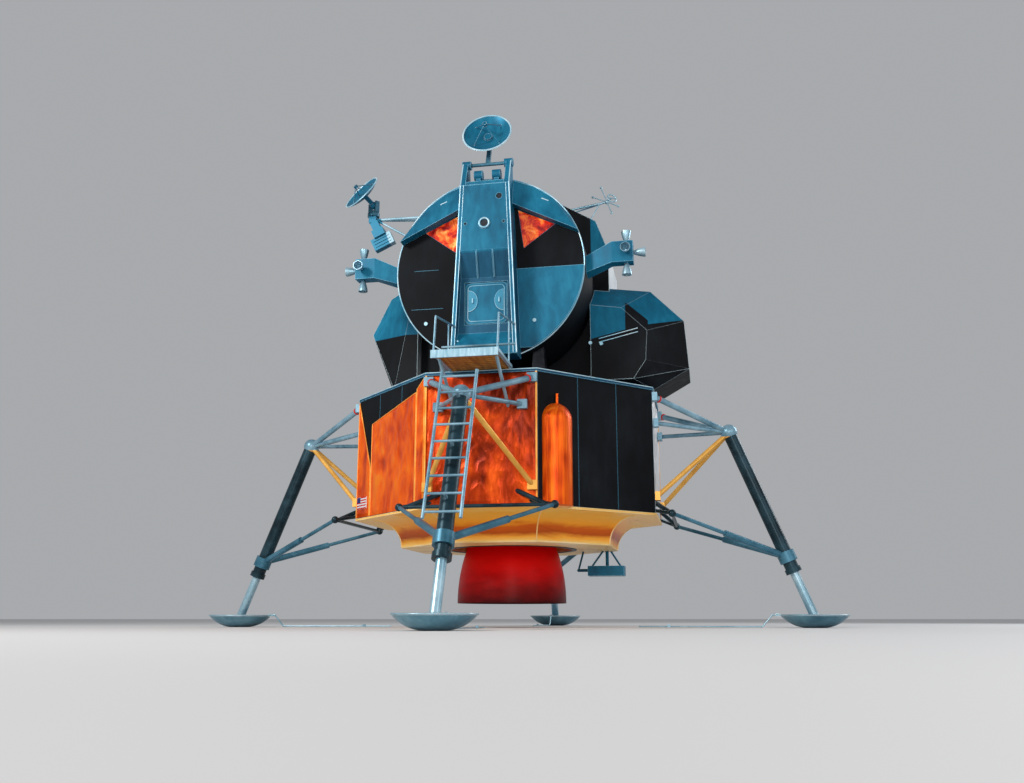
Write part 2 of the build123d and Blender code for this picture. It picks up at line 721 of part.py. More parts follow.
def column_block(inset=0.0):
    """The column's outside, wider at its foot, or the same drawn in at both sides."""
    return hull([
        (side * (half - inset), y, z)
        for side in (-1, 1)
        for y in (COLUMN_FRONT_Y, CABIN_FRONT_Y)
        for half, z in ((COLUMN_TOP_HALF, COLUMN_TOP_Z), (COLUMN_FOOT_HALF, COLUMN_FOOT_Z))
    ])


def column_hollow(outline, inset):
    """A hollow in the column from its side outline, with walls that follow the column's taper."""
    return sideways(outline, COLUMN_FOOT_HALF) & column_block(inset)


def make_column():
    """The upright box on the cabin's face, with a slanting recess above the hatch and a sill below."""
    recess_low, recess_high = RECESS_Z
    back = COLUMN_FRONT_Y + COLUMN_WALL
    hatch_back = HATCH_FRONT_Y + COLUMN_WALL
    inside = column_hollow([
        (CABIN_FRONT_Y, COLUMN_TOP_Z - COLUMN_WALL), (back, COLUMN_TOP_Z - COLUMN_WALL),
        (back, RECESS_TOP_Z), (hatch_back, recess_high), (hatch_back, FLOOR_Z), (CABIN_FRONT_Y, FLOOR_Z),
    ], COLUMN_WALL)
    recess = column_hollow([
        (COLUMN_FRONT_Y, RECESS_TOP_Z), (HATCH_FRONT_Y, recess_high),
        (HATCH_FRONT_Y, recess_low), (COLUMN_FRONT_Y, SILL_FOOT_Z),
    ], RECESS_SIDE)
    half = HATCH_OPENING / 2
    doorway = block((-half, half), (HATCH_FRONT_Y - 1, hatch_back + 1), (HATCH_Z - half, HATCH_Z + half))
    rib_drop = SLANT_RIB_HEIGHT * (RECESS_TOP_Z - recess_high) / RECESS_DEPTH
    rib = [
        (COLUMN_FRONT_Y, RECESS_TOP_Z), (HATCH_FRONT_Y, recess_high),
        (HATCH_FRONT_Y - SLANT_RIB_HEIGHT, recess_high), (COLUMN_FRONT_Y, RECESS_TOP_Z - rib_drop),
    ]
    ribs = [sideways(rib, SLANT_RIB_HALF, place) for place in SLANT_RIB_PLACES]
    lamp = tube((0, COLUMN_FRONT_Y - LAMP_RIM, LAMP_Z), (0, COLUMN_FRONT_Y, LAMP_Z), LAMP_RADIUS)
    ports = [
        tube((x, COLUMN_FRONT_Y - 1, z), (x, COLUMN_FRONT_Y + PORT_DEPTH, z), radius)
        for x, z, radius in PORTS
    ]
    bore = tube((0, COLUMN_FRONT_Y - LAMP_RIM - 1, LAMP_Z), (0, COLUMN_FRONT_Y + PORT_DEPTH, LAMP_Z),
                LAMP_BORE_RADIUS)
    box = column_block() - inside - recess - doorway
    return joined([box, lamp] + ribs) - bore - ports


def make_hatch():
    """A plug door that closes on the inside of the hatch wall."""
    back = HATCH_FRONT_Y + COLUMN_WALL
    half = HATCH_OPENING / 2 + HATCH_LAP
    plate = block((-half, half), (back + SEAT_GAP, back + HATCH_WALL), (HATCH_Z - half, HATCH_Z + half))
    inset = HATCH_OPENING / 2 - HATCH_BOSS_GAP
    boss = block((-inset, inset), (HATCH_FRONT_Y + 6, back + 5), (HATCH_Z - inset, HATCH_Z + inset))
    boss = fillet(boss.edges().filter_by(Axis.Y), 70)
    x, y = hatch_axis()
    arms = []
    for place in (-HATCH_HINGE_SPREAD, HATCH_HINGE_SPREAD):
        heights = (HATCH_Z + place - 40, HATCH_Z + place + 40)
        arms.append(block((x, -half + 10), (y - 7, y + 7), heights))
        arms.append(tube((x, y, heights[0]), (x, y, heights[1]), HATCH_EYE_RADIUS))
    bore = tube((x, y, HATCH_Z - half), (x, y, HATCH_Z + half), HATCH_PIN_RADIUS + PIN_GAP)
    return joined([plate, boss] + arms) - bore


def hatch_axis():
    """Where the door's upright hinge line stands."""
    back = HATCH_FRONT_Y + COLUMN_WALL
    return (-HATCH_OPENING / 2 - HATCH_LAP - HATCH_HINGE_OUT, back + HATCH_EYE_RADIUS + 2)


def make_hatch_brackets():
    """Pins and lugs that hold the door's eyes to the hatch wall."""
    x, y = hatch_axis()
    back = HATCH_FRONT_Y + COLUMN_WALL
    pieces = []
    for place in (-HATCH_HINGE_SPREAD, HATCH_HINGE_SPREAD):
        middle = HATCH_Z + place
        pin = tube((x, y, middle - 58), (x, y, middle + 58), HATCH_PIN_RADIUS)
        lugs = [
            block((x - 10, x + 10), (back, y + 9), tuple(sorted((middle + s * 42, middle + s * 58))))
            for s in (-1, 1)
        ]
        pieces.append(joined([pin] + lugs))
    return pieces


# Front outline of the midsection's right half: across and height
MID_OUTLINE = [
    (600, MID_TOP_Z), (1380, 5960), (1560, 5470), (1560, 4300), (1380, 3640), (1000, MID_FOOT_Z),
]


def make_midsection():
    """The faceted block behind the cabin, with the chamber under the docking tunnel."""
    outline = MID_OUTLINE + [(-x, z) for x, z in reversed(MID_OUTLINE)]
    body = facing(outline, CABIN_BACK_Y, MID_BACK_Y)
    chamber = block((-CHAMBER_HALF, CHAMBER_HALF), (CABIN_BACK_Y - 1, CHAMBER_BACK_Y),
                    (FLOOR_Z, CHAMBER_ROOF_Z))
    tunnel = tube((0, TUNNEL_Y, CHAMBER_ROOF_Z - 1), (0, TUNNEL_Y, MID_TOP_Z + 1),
                  TUNNEL_RADIUS + TUNNEL_WALL)
    return body - chamber - tunnel


def make_tunnel():
    """The docking tunnel's tube with its outer ring."""
    tube_wall = tube((0, TUNNEL_Y, CHAMBER_ROOF_Z), (0, TUNNEL_Y, TUNNEL_TOP_Z), TUNNEL_RADIUS + TUNNEL_WALL)
    ring = tube((0, TUNNEL_Y, TUNNEL_TOP_Z - 60), (0, TUNNEL_Y, TUNNEL_TOP_Z), TUNNEL_RADIUS + 70)
    bore = tube((0, TUNNEL_Y, CHAMBER_ROOF_Z - 1), (0, TUNNEL_Y, TUNNEL_TOP_Z + 1), TUNNEL_RADIUS)
    return joined([tube_wall, ring]) - bore


TUNNEL_HINGE = (TUNNEL_Y + TUNNEL_RADIUS + 48, CHAMBER_ROOF_Z - 22)


def make_docking_hatch():
    """The round door under the tunnel, hung on a pin at its rear."""
    y, z = TUNNEL_HINGE
    disc = tube((0, TUNNEL_Y, CHAMBER_ROOF_Z - 34), (0, TUNNEL_Y, CHAMBER_ROOF_Z - SEAT_GAP),
                TUNNEL_RADIUS + 15)
    arm = block((-60, 60), (TUNNEL_Y + TUNNEL_RADIUS - 40, y), (z - 10, z + 10))
    eye = tube((-60, y, z), (60, y, z), 16)
    pin = tube((-70, y, z), (70, y, z), 8 + PIN_GAP)
    return joined([disc, arm, eye]) - pin


def make_docking_lugs():
    """Ears under the chamber's roof with the docking hatch's pin."""
    y, z = TUNNEL_HINGE
    ears = [
        block(tuple(sorted((side * 64, side * 84))), (y - 16, y + 16), (z - 16, CHAMBER_ROOF_Z))
        for side in (-1, 1)
    ]
    return joined(ears + [tube((-84, y, z), (84, y, z), 8)])


# Tank bulge corners beside the midsection: outboard place, half length along Y, height
RIGHT_BULGE = [
    (1300, 780, 4560), (1300, 450, 4930), (1750, 780, 4490), (2160, 450, 4810),
    (2110, 780, 4130), (2630, 450, 4330), (2080, 780, 3700), (2680, 450, 3620),
    (1900, 780, 3430), (2170, 450, 3330), (1300, 780, 3430), (1300, 450, 3370),
]
LEFT_BULGE = [
    (1300, 700, 4530), (1300, 420, 5090), (1450, 700, 4530), (1585, 420, 5090),
    (1820, 420, 4945), (2100, 420, 4380), (1800, 420, 3600), (1650, 700, 3440),
    (1700, 420, 3380), (1300, 700, 3440), (1300, 420, 3380),
]


def make_bulge(corners, side, midsection):
    points = [(side * x, end * y, z) for x, y, z in corners for end in (-1, 1)]
    return hull(points) - midsection - drum(CABIN_RADIUS, CABIN_FRONT_Y, CABIN_BACK_Y)


def make_rear_bay():
    """The flat equipment bay behind the midsection."""
    return hull([
        (side * half, y, z)
        for side in (-1, 1)
        for half, y, foot, top in REAR_BAY
        for z in (foot, top)
    ])


def make_posts(midsection):
    """The fittings that stand the upper stage on the deck."""
    posts = []
    for side in (-1, 1):
        front = hull([(side * x, y, z) for z, across, back in FRONT_POST for x in across for y in back])
        posts.append(front - drum(CABIN_RADIUS, CABIN_FRONT_Y, CABIN_BACK_Y))
        across, back = REAR_POST
        rear = block(tuple(sorted(side * x for x in across)), back, (DECK_Z, MID_FOOT_Z + REAR_POST_LAP))
        posts.append(rear - midsection)
    return posts


def quad_corners():
    return [(side_x * QUAD_X, side_y * QUAD_Y) for side_x in (-1, 1) for side_y in (-1, 1)]


def make_quad_arms(midsection, rear_bay):
    """Fairings that grow from the cabin and the rear bay to the thruster blocks."""
    arms = []
    shoulder = QUAD_X - ARM_SHOULDER
    for x, y in quad_corners():
        side, end = (1 if x > 0 else -1), (1 if y > 0 else -1)
        root_x = CABIN_RADIUS - ARM_IN_CABIN if end < 0 else REAR_BAY[0][0] - ARM_IN_BAY
        points = [(side * root_x, end * ry, rz) for ry in ARM_ROOT_Y for rz in ARM_ROOT_Z]
        points += [
            (side * shoulder, y + dy, QUAD_Z + dz)
            for dy in (-QUAD_HALF, QUAD_HALF)
            for dz in (-QUAD_TALL, QUAD_TALL)
        ]
        head = block(tuple(sorted((side * shoulder, side * (QUAD_X + QUAD_HALF)))),
                     (y - QUAD_HALF, y + QUAD_HALF), (QUAD_Z - QUAD_TALL, QUAD_Z + QUAD_TALL))
        arm = joined([hull(points), head])
        if end < 0:
            arm = arm - drum(CABIN_RADIUS, CABIN_FRONT_Y, CABIN_BACK_Y)
        else:
            arm = arm - rear_bay - midsection
        arms.append(arm)
    return arms


def make_bell():
    """One small thruster bell that opens along +Z, its throat at the origin."""
    mid_radius = BELL_THROAT_RADIUS + (BELL_EXIT_RADIUS - BELL_THROAT_RADIUS) * 0.66
    section = [
        Line((0, 0), (BELL_THROAT_RADIUS, 0)),
        ThreePointArc((BELL_THROAT_RADIUS, 0), (mid_radius, BELL_LENGTH / 2), (BELL_EXIT_RADIUS, BELL_LENGTH)),
        Line((BELL_EXIT_RADIUS, BELL_LENGTH), (BELL_EXIT_RADIUS - BELL_WALL, BELL_LENGTH)),
        ThreePointArc(
            (BELL_EXIT_RADIUS - BELL_WALL, BELL_LENGTH),
            (mid_radius - BELL_WALL, BELL_LENGTH / 2 + 2),
            (BELL_THROAT_RADIUS - BELL_WALL, 14),
        ),
        Line((BELL_THROAT_RADIUS - BELL_WALL, 14), (0, 14)),
        Line((0, 14), (0, 0)),
    ]
    return turned(section)


def make_bells():
    """Four bells on each block: up, down, outboard, and forward or aft."""
    bell = make_bell()
    bells = []
    for x, y in quad_corners():
        side, end = (1 if x > 0 else -1), (1 if y > 0 else -1)
        for way in ((0, 0, 1), (0, 0, -1), (side, 0, 0), (0, end, 0)):
            reach = QUAD_TALL if way[2] else QUAD_HALF
            start = [c + w * reach for c, w in zip((x, y, QUAD_Z), way)]
            bells.append(Plane(origin=start, z_dir=way).location * bell)
    return bells


def make_porch():
    """The platform outside the hatch: a frame, slats and a front lip."""
    back = -STAGE_FLAT - DECK_LIP
    low, high = PORCH_Z - PORCH_WALL, PORCH_Z
    frame_width = 40
    frame = block((-PORCH_HALF, PORCH_HALF), (PORCH_FRONT_Y, back), (low, high)) - block(
        (-PORCH_HALF + frame_width, PORCH_HALF - frame_width),
        (PORCH_FRONT_Y + frame_width, back - frame_width),
        (low - 1, high + 1),
    )
    slats = []
    count = 9
    room = back - PORCH_FRONT_Y - 2 * frame_width
    for index in range(count):
        middle = PORCH_FRONT_Y + frame_width + room * (index + 0.5) / count
        slats.append(block((-PORCH_HALF + 5, PORCH_HALF - 5), (middle - 30, middle + 30), (low + 8, high - 4)))
    lip = block((-PORCH_HALF, PORCH_HALF), (PORCH_FRONT_Y - 30, PORCH_FRONT_Y), (low - 60, high))
    braces = [
        tube((side * (PORCH_HALF - 60), PORCH_FRONT_Y + 120, low + 15),
             (side * (PORCH_HALF - 60), -STAGE_FLAT + 40, low - 520), 22)
        for side in (-1, 1)
    ]
    wall = block((-STAGE_FLAT, STAGE_FLAT), (-STAGE_FLAT, 0), (0, DECK_Z))
    backs = [
        block(tuple(sorted((side * (PORCH_HALF - 90), side * (PORCH_HALF - 30)))),
              (-STAGE_FLAT - DECK_LIP - 20, -STAGE_FLAT - DECK_LIP + 60), (DECK_Z, high))
        for side in (-1, 1)
    ]
    return joined([frame, lip] + slats + braces + backs) - wall


def make_handrails():
    """Hoops at the porch's sides, and the rail across below the hatch."""
    back_y = -2300
    cross = tube((-PORCH_HALF - 70, back_y, PORCH_Z + 250), (PORCH_HALF + 70, back_y, PORCH_Z + 250), 16)
    rails = [cross]
    for side in (-1, 1):
        x = side * (PORCH_HALF - 20)
        foot = (x, PORCH_FRONT_Y + 40, PORCH_Z)
        top = (x, PORCH_FRONT_Y + 120, PORCH_Z + 480)
        wall_point = (x, COLUMN_FRONT_Y, PORCH_Z + 620)
        back_foot = (x, back_y, PORCH_Z)
        back_top = (x, back_y, PORCH_Z + 583)
        rails += [
            tube(foot, top, 14), ball(top, 14), tube(top, wall_point, 14),
            tube(back_foot, back_top, 12),
        ]
    under = block((-PORCH_HALF, PORCH_HALF), (PORCH_FRONT_Y, 0), (0, PORCH_Z))
    return joined(rails) - column_block() - under


def dish_shell(radius, depth, wall):
    """A shallow dish on the Z axis that opens along +Z, its lowest point at the origin."""
    inner_mid = (radius * 0.55, wall + depth * 0.3025)
    outer_mid = (radius * 0.55 + wall * 0.3, depth * 0.3025)
    section = [
        ThreePointArc((0, 0), outer_mid, (radius, depth)),
        Line((radius, depth), (radius - wall, depth + wall * 0.4)),
        ThreePointArc((radius - wall, depth + wall * 0.4), inner_mid, (0, wall)),
        Line((0, wall), (0, 0)),
    ]
    return turned(section)


def dish_with_feed(radius, depth, wall, focus, rod_radius):
    """A dish with four feed struts that meet at a small horn."""
    pieces = [dish_shell(radius, depth, wall)]
    for turn in range(4):
        angle = math.radians(45 + 90 * turn)
        foot_radius = radius * 0.72
        foot = (foot_radius * math.cos(angle), foot_radius * math.sin(angle), depth * 0.52)
        pieces.append(tube(foot, (0, 0, focus), rod_radius))
    pieces.append(Pos(0, 0, focus - 30) * Solid.make_cylinder(34, 46))
    pieces.append(Solid.make_cylinder(60, wall + 30))
    return joined(pieces)


def make_radar_bracket():
    """Two cheeks that carry on the column's sides, and the shelf between them with its gear drums."""
    _, y, z = RADAR_PIVOT
    pieces = []
    inner, outer = RADAR_HOUSING
    for side in (-1, 1):
        cheek = hull([
            (side * place, cheek_y, height)
            for place in (COLUMN_TOP_HALF - RADAR_CHEEK_WALL, COLUMN_TOP_HALF)
            for cheek_y, height in ((COLUMN_FRONT_Y, COLUMN_TOP_Z), (CABIN_FRONT_Y, COLUMN_TOP_Z),
                                    (y - RADAR_HOUSING_RADIUS, z), (y + RADAR_HOUSING_RADIUS, z))
        ])
        housing = tube((side * inner, y, z), (side * outer, y, z), RADAR_HOUSING_RADIUS)
        bore = tube((side * (inner - 1), y, z), (side * (RADAR_SHAFT_REACH + 8), y, z),
                    RADAR_SHAFT_RADIUS + PIN_GAP)
        pieces.append(joined([cheek, housing]) - bore)
    shelf_half = COLUMN_TOP_HALF - RADAR_CHEEK_WALL - SEAT_GAP
    shelf = [block((-shelf_half, shelf_half), (COLUMN_FRONT_Y, CABIN_FRONT_Y), RADAR_SHELF_Z)]
    for side in (-1, 1):
        shelf.append(tube((side * 70, y, RADAR_GEAR_Z), (side * 190, y, RADAR_GEAR_Z), RADAR_GEAR_RADIUS))
        shelf.append(block(tuple(sorted((side * 95, side * 165))), (y - 40, y + 40),
                           (RADAR_SHELF_Z[0], RADAR_GEAR_Z)))
    return pieces + [joined(shelf)]


def aimed(shape):
    """A piece of the radar turned up about the pivot to where it looks at rest."""
    return shape.rotate(Axis(RADAR_PIVOT, (1, 0, 0)), -RADAR_AIM)


def make_radar_yoke():
    """A cross shaft with a fork that stands up behind the dish."""
    _, y, z = RADAR_PIVOT
    shaft = tube((-RADAR_SHAFT_REACH, y, z), (RADAR_SHAFT_REACH, y, z), RADAR_SHAFT_RADIUS)
    arm = block((-30, 30), (y - 25, y + 25), (z, RADAR_DISH_Z + 95))
    prongs = [
        block((-22, 22), (y - 100, y), (RADAR_DISH_Z + side * 75 - 15, RADAR_DISH_Z + side * 75 + 15))
        for side in (-1, 1)
    ]
    pin_y = y - RADAR_PIN_OUT
    bore = tube((0, pin_y, RADAR_DISH_Z - 100), (0, pin_y, RADAR_DISH_Z + 100), 12 + PIN_GAP)
    return aimed(joined([shaft, arm] + prongs) - bore)


def make_radar_dish():
    y = RADAR_PIVOT[1]
    dish = Plane(origin=(0, y - 118, RADAR_DISH_Z), z_dir=(0, -1, 0)).location * dish_with_feed(
        RADAR_DISH_RADIUS, RADAR_DISH_DEPTH, DISH_WALL, 270, 9
    )
    hub = block((-34, 34), (y - 122, y - 42), (RADAR_DISH_Z - 55, RADAR_DISH_Z + 55))
    pin_y = y - RADAR_PIN_OUT
    pin = tube((0, pin_y, RADAR_DISH_Z - 88), (0, pin_y, RADAR_DISH_Z + 88), 12)
    return aimed(joined([dish, hub, pin]))


def make_boom(midsection):
    """The tubes that hold the steerable antenna off the left shoulder, with its drive and box."""
    x, y, top = STEER_BASE
    half = STEER_BASE_HALF
    pieces = [block((x - half, x + half), (y - half, y + half), (top - STEER_BASE_DEPTH, top))]
    end = (x + half - 10, y, top - STEER_BASE_DEPTH / 2)
    for foot, radius in (((-820, y - 110, 6270), 22), ((-820, y + 110, 6270), 22), ((-1400, y, 5880), 18)):
        pieces.append(tube(foot, end, radius))
    lean = math.radians(STEER_BOX_LEAN)
    hanger = Plane(origin=(x, y, top - STEER_BASE_DEPTH / 2), x_dir=(math.cos(lean), 0, math.sin(lean)),
                   z_dir=(-math.sin(lean), 0, math.cos(lean))).location
    for drop, width, height in ((130, 130, 160), (265, 190, 130)):
        pieces.append(hanger * (Pos(0, 0, -drop) * Box(width, width, height)))
    wide, deep, tall = STEER_BOX
    box_drop = 330 + tall / 2 - 10
    pieces.append(hanger * (Pos(0, 0, -box_drop) * Box(wide, deep, tall)))
    for step in (-1, 0, 1):
        rib = Box(wide * 0.82, 12, 14)
        pieces.append(hanger * (Pos(0, -deep / 2 - 5, step * tall * 0.26 - box_drop) * rib))
    return joined(pieces) - midsection


STEER_WAY = (-0.52, -0.66, 0.54)


def steer_axis():
    """The level axis that the steerable dish nods about, square to where it faces."""
    level = math.hypot(STEER_WAY[0], STEER_WAY[1])
    return (STEER_WAY[1] / level, -STEER_WAY[0] / level, 0.0)


def make_steer_mount():
    """The turning column with a fork for the steerable dish."""
    x, y, top = STEER_BASE
    base_top = top + SEAT_GAP
    column = tube((x, y, base_top), (x, y, STEER_PIVOT_Z - 110), 60)
    drum_base = tube((x, y, base_top), (x, y, base_top + 60), 95)
    ax, ay, _ = steer_axis()
    fork_plane = Plane(origin=(x, y, STEER_PIVOT_Z - 130), x_dir=(ax, ay, 0), z_dir=(0, 0, 1))
    cross = fork_plane.location * (Pos(0, 0, 10) * Box(220, 70, 40))
    pieces = [column, drum_base, cross]
    for side in (-1, 1):
        pieces.append(fork_plane.location * (Pos(side * 96, 0, 90) * Box(28, 70, 170)))
    bore = tube(
        (x - ax * 130, y - ay * 130, STEER_PIVOT_Z), (x + ax * 130, y + ay * 130, STEER_PIVOT_Z),
        18 + PIN_GAP,
    )
    return joined(pieces) - bore


def make_steer_dish():
    """The steerable dish with its backing arm and trunnion."""
    x, y, _ = STEER_BASE
    pivot = Vector(x, y, STEER_PIVOT_Z)
    way = Vector(*STEER_WAY).normalized()
    dish_foot = pivot + way * 190
    dish = Plane(origin=dish_foot, z_dir=way).location * dish_with_feed(
        STEER_DISH_RADIUS, STEER_DISH_DEPTH, DISH_WALL, 230, 8
    )
    ax, ay, _ = steer_axis()
    trunnion = tube(
        (x - ax * 108, y - ay * 108, STEER_PIVOT_Z), (x + ax * 108, y + ay * 108, STEER_PIVOT_Z), 18
    )
    hub = ball((x, y, STEER_PIVOT_Z), 62)
    arm_end = dish_foot + way * 10
    arm = tube((x, y, STEER_PIVOT_Z), (arm_end.X, arm_end.Y, arm_end.Z), 36)
    return joined([dish, trunnion, hub, arm])


def make_whip_antenna(midsection):
    """A short boom on the right shoulder with four ball-ended arms and a ring."""
    centre = (1540, -300, 6340)
    long_foot = (880, -330, 6225)
    pieces = [
        tube(long_foot, centre, 16),
        tube((880, -180, 6225), centre, 12),
        tube((1240, -300, 6000), along(long_foot, centre, 560), 10),
        ball(centre, 34),
    ]
    for dx, dy, dz in ((-0.35, -0.3, 0.9), (-0.9, -0.25, 0.3), (0.75, -0.35, -0.5), (0.3, -0.3, -0.9)):
        end = (centre[0] + dx * 235, centre[1] + dy * 235, centre[2] + dz * 235)
        pieces.append(tube(centre, end, 8))
        pieces.append(ball(end, 19))
    ring_centre = (centre[0] + 80, centre[1] - 60, centre[2] + 30)
    ring_plane = Plane(origin=ring_centre, z_dir=(0.5, -0.8, 0.3))
    pieces.append(ring_plane.location * Solid.make_torus(70, 12))
    pieces.append(tube(centre, ring_centre, 12))
    pieces.append(ring_plane.location * Box(140, 14, 14))
    return joined(pieces) - midsection


def make_landing_radar():
    """A flat box slung under the right of the base, with its struts and side arm."""
    plate_foot = PLATE_Z - PLATE_WALL
    low, high = LANDING_BOX[2][1] - LANDING_SINK, plate_foot + LANDING_SINK
    arm_start = (LANDING_BOX[0][0] + LANDING_SINK, *LANDING_ARM_END[1:])
    pieces = [
        block(*LANDING_BOX),
        tube(arm_start, LANDING_ARM_END, LANDING_ARM_RADIUS),
        tube(LANDING_ARM_END, (*LANDING_STAY_TOP, high), LANDING_STAY_RADIUS),
        ball(LANDING_ARM_END, LANDING_ARM_RADIUS),
    ]
    for foot, top, radius in LANDING_STRUTS:
        pieces.append(tube((*foot, low), (*top, high), radius))
    above = block((0, STAGE_FLAT), (0, STAGE_FLAT), (plate_foot, WALL_Z))
    return joined(pieces) - above


def build():
    os.makedirs("parts", exist_ok=True)
    midsection = make_midsection()
    rear_bay = make_rear_bay()

    write("foot_pads", *at_each_leg(make_pad()))
    write("strut_pistons", *at_each_leg(make_piston()))
    write("strut_cylinders", *at_each_leg(make_cylinder()))
    write("side_struts", *at_each_leg(make_side_struts()))
    write("side_trusses", *at_each_leg(make_truss()))
    write("outriggers", *at_each_leg(make_outrigger()))
    write("ladder", make_ladder())
    probe = make_probe()
    for name, angle in LEG_ANGLES.items():
        write(f"probe_{name}", Rot(0, 0, angle) * probe)

    write("stage_core", make_core())
    write("stage_walls", *make_wall_panels())
    write("foil_sheets", *make_foil_panels())
    write("stage_deck", make_deck())
    write("base_skirt", make_skirt())
    write("bottom_plate", make_bottom_plate())
    write("side_canister", make_canister())
    write("landing_radar", make_landing_radar())
    write("engine", make_engine())
    write("gimbal_ring", make_gimbal_ring())
    write("engine_beams", *make_engine_beams())

    write("cabin_drum", make_cabin())
    write("cabin_face", make_face_wall())
    write("window_glass", *make_glass())
    write("face_panel", make_face_panel())
    write("window_brows", *make_brows())
    write("hatch_column", make_column())
    write("hatch_brackets", *make_hatch_brackets())
    write("forward_hatch", make_hatch())
    write("midsection", midsection)
    write("docking_tunnel", make_tunnel())
    write("docking_hatch", make_docking_hatch())
    write("docking_lugs", make_docking_lugs())
    write("tank_bulges", make_bulge(RIGHT_BULGE, 1, midsection), make_bulge(LEFT_BULGE, -1, midsection))
    write("rear_bay", rear_bay)
    write("stage_posts", *make_posts(midsection))
    write("thruster_arms", *make_quad_arms(midsection, rear_bay))
    write("thruster_bells", *make_bells())
    write("porch", make_porch())
    write("handrails", make_handrails())
    write("radar_bracket", *make_radar_bracket())
    write("radar_yoke", make_radar_yoke())
    write("radar_dish", make_radar_dish())
    write("antenna_boom", make_boom(midsection))
    write("antenna_mount", make_steer_mount())
    write("antenna_dish", make_steer_dish())
    write("whip_antenna", make_whip_antenna(midsection))


build()
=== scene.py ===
import math

import bmesh
import bpy
from mathutils import Matrix, Vector, noise


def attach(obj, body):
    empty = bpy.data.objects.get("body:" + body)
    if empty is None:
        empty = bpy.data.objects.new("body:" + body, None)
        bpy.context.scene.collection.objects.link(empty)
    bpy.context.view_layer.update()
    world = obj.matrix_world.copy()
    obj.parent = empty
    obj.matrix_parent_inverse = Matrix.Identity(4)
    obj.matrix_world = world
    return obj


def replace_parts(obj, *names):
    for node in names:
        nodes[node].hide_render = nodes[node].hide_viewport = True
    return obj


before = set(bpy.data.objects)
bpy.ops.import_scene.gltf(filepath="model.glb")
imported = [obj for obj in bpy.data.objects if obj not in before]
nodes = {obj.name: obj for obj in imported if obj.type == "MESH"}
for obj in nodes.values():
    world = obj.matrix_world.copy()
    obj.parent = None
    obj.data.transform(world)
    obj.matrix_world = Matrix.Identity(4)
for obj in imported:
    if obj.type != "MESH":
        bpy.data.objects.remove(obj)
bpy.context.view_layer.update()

# Sizes of the lander that the new pieces sit on, in metres
STAGE_FLAT = 2.150
FACE_HALF = 0.750
DIAGONAL_FLAT = (STAGE_FLAT + FACE_HALF) / math.sqrt(2)
DIAGONAL_HALF = (STAGE_FLAT - FACE_HALF) / math.sqrt(2)
WALL_FOOT = 1.530
WALL_TOP = 3.260
PANEL_DEPTH = 0.020
LEDGE_FLAT = 2.162
LEDGE_FOOT = 1.500
PLATE_FLAT = 1.500
PLATE_FOOT = 1.110
PLATE_TOP = 1.130
COVE_RADIUS = 0.370
HOLE_RADIUS = 0.876
DECK_TOP = 3.300
LUG_OUT = STAGE_FLAT + 0.028
LUG_SIDE = FACE_HALF - 0.060
LUG_HEIGHT = 3.170
KNEE = Vector((3.200, 0.0, 2.750))
FACE_FRONT = -1.650
CABIN_HEIGHT = 4.900
CABIN_RADIUS = 1.340
COLUMN_FRONT = -2.000
COLUMN_HALF = ((3.560, 0.450), (6.010, 0.343))
PORT_DEPTH = 0.016
HATCH_FRONT = -1.854
HATCH_HEIGHT = 4.325
RADAR_PIVOT = Vector((0.0, -1.790, 6.400))
RADAR_AIM = math.radians(-20.0)
RADAR_RIM = Vector((0.0, -2.013, 6.800))
RADAR_RIM_RADIUS = 0.346
RADAR_RIM_THICKNESS = 0.011
STEER_PIVOT = Vector((-2.200, -0.300, 6.590))
STEER_WAY = Vector((-0.52, -0.66, 0.54)).normalized()
STEER_RIM_OUT = 0.285
STEER_RIM_RADIUS = 0.330
STEER_RIM_THICKNESS = 0.010

# Directions: the lander's front faces FORE, and RIGHT is the viewer's right
UP, DOWN, RIGHT, LEFT = (0, 0, 1), (0, 0, -1), (1, 0, 0), (-1, 0, 0)
FORE, BACK = (0, -1, 0), (0, 1, 0)

# Left and right of each wall panel, in metres
WALL_PANELS = ((-0.986, -0.332), (-0.329, 0.329), (0.332, 0.986))

# Creased foil, in metres; a fold has its scale and its share
FOIL_PITCH = 0.018
FOIL_HEM = 0.05
WALL_GAP = 0.003
WALL_FOIL_PROUD = -0.012
WALL_CREASE = 0.026
FOIL_FOOT = 1.540
FOIL_DEPTH = 0.014
SHEET_PROUD = FOIL_DEPTH * 0.3
SHEET_CREASE = 0.018
STRIP_HALF = 0.012
STRIP_OUT = 0.016
STRIP_IN = 0.004
FOLDS = ((1.9, 0.5), (4.3, 0.3), (9.0, 0.2))
FOLD_SHARPNESS = 2.6
# Raised foil sheets of the left front face: left, right, top at the left, top at the right
FOIL_SHEETS = (
    (-DIAGONAL_HALF + 0.006, -DIAGONAL_HALF + 0.420, 3.240, 2.240),
    (-DIAGONAL_HALF + 0.450, DIAGONAL_HALF - 0.230, 2.850, 3.080),
    (DIAGONAL_HALF - 0.205, DIAGONAL_HALF - 0.006, 3.120, 3.240),
)

# Radii of the round lines, thin to thick, in metres
HAIR_LINE = 0.005
THIN_LINE = 0.006
LINE = 0.007
BOLD_LINE = 0.009

# Places and sizes of the trim, in metres; a row has its place across before its height
LINE_INSET = 0.004
DECK_LINE_OUT = 0.014
HOLE_RING_SPAN = (HOLE_RADIUS + 0.006, HOLE_RADIUS + 0.075)
HOLE_RING_DEPTH = 0.010
RING_FROM_LUG = 0.085
RING_RADIUS = 0.041
RING_THICKNESS = 0.012
COLUMN_STUDS = ((-0.355, 3.760), (0.355, 3.760))
STUD_RADIUS = 0.012
COLUMN_RAIL_INSET = 0.045
COLUMN_LAMP_HEIGHT = 5.430
COLUMN_LAMP_RADIUS = 0.054
COLUMN_LAMP_RING = 0.068
LAMP_RING_THICKNESS = 0.010
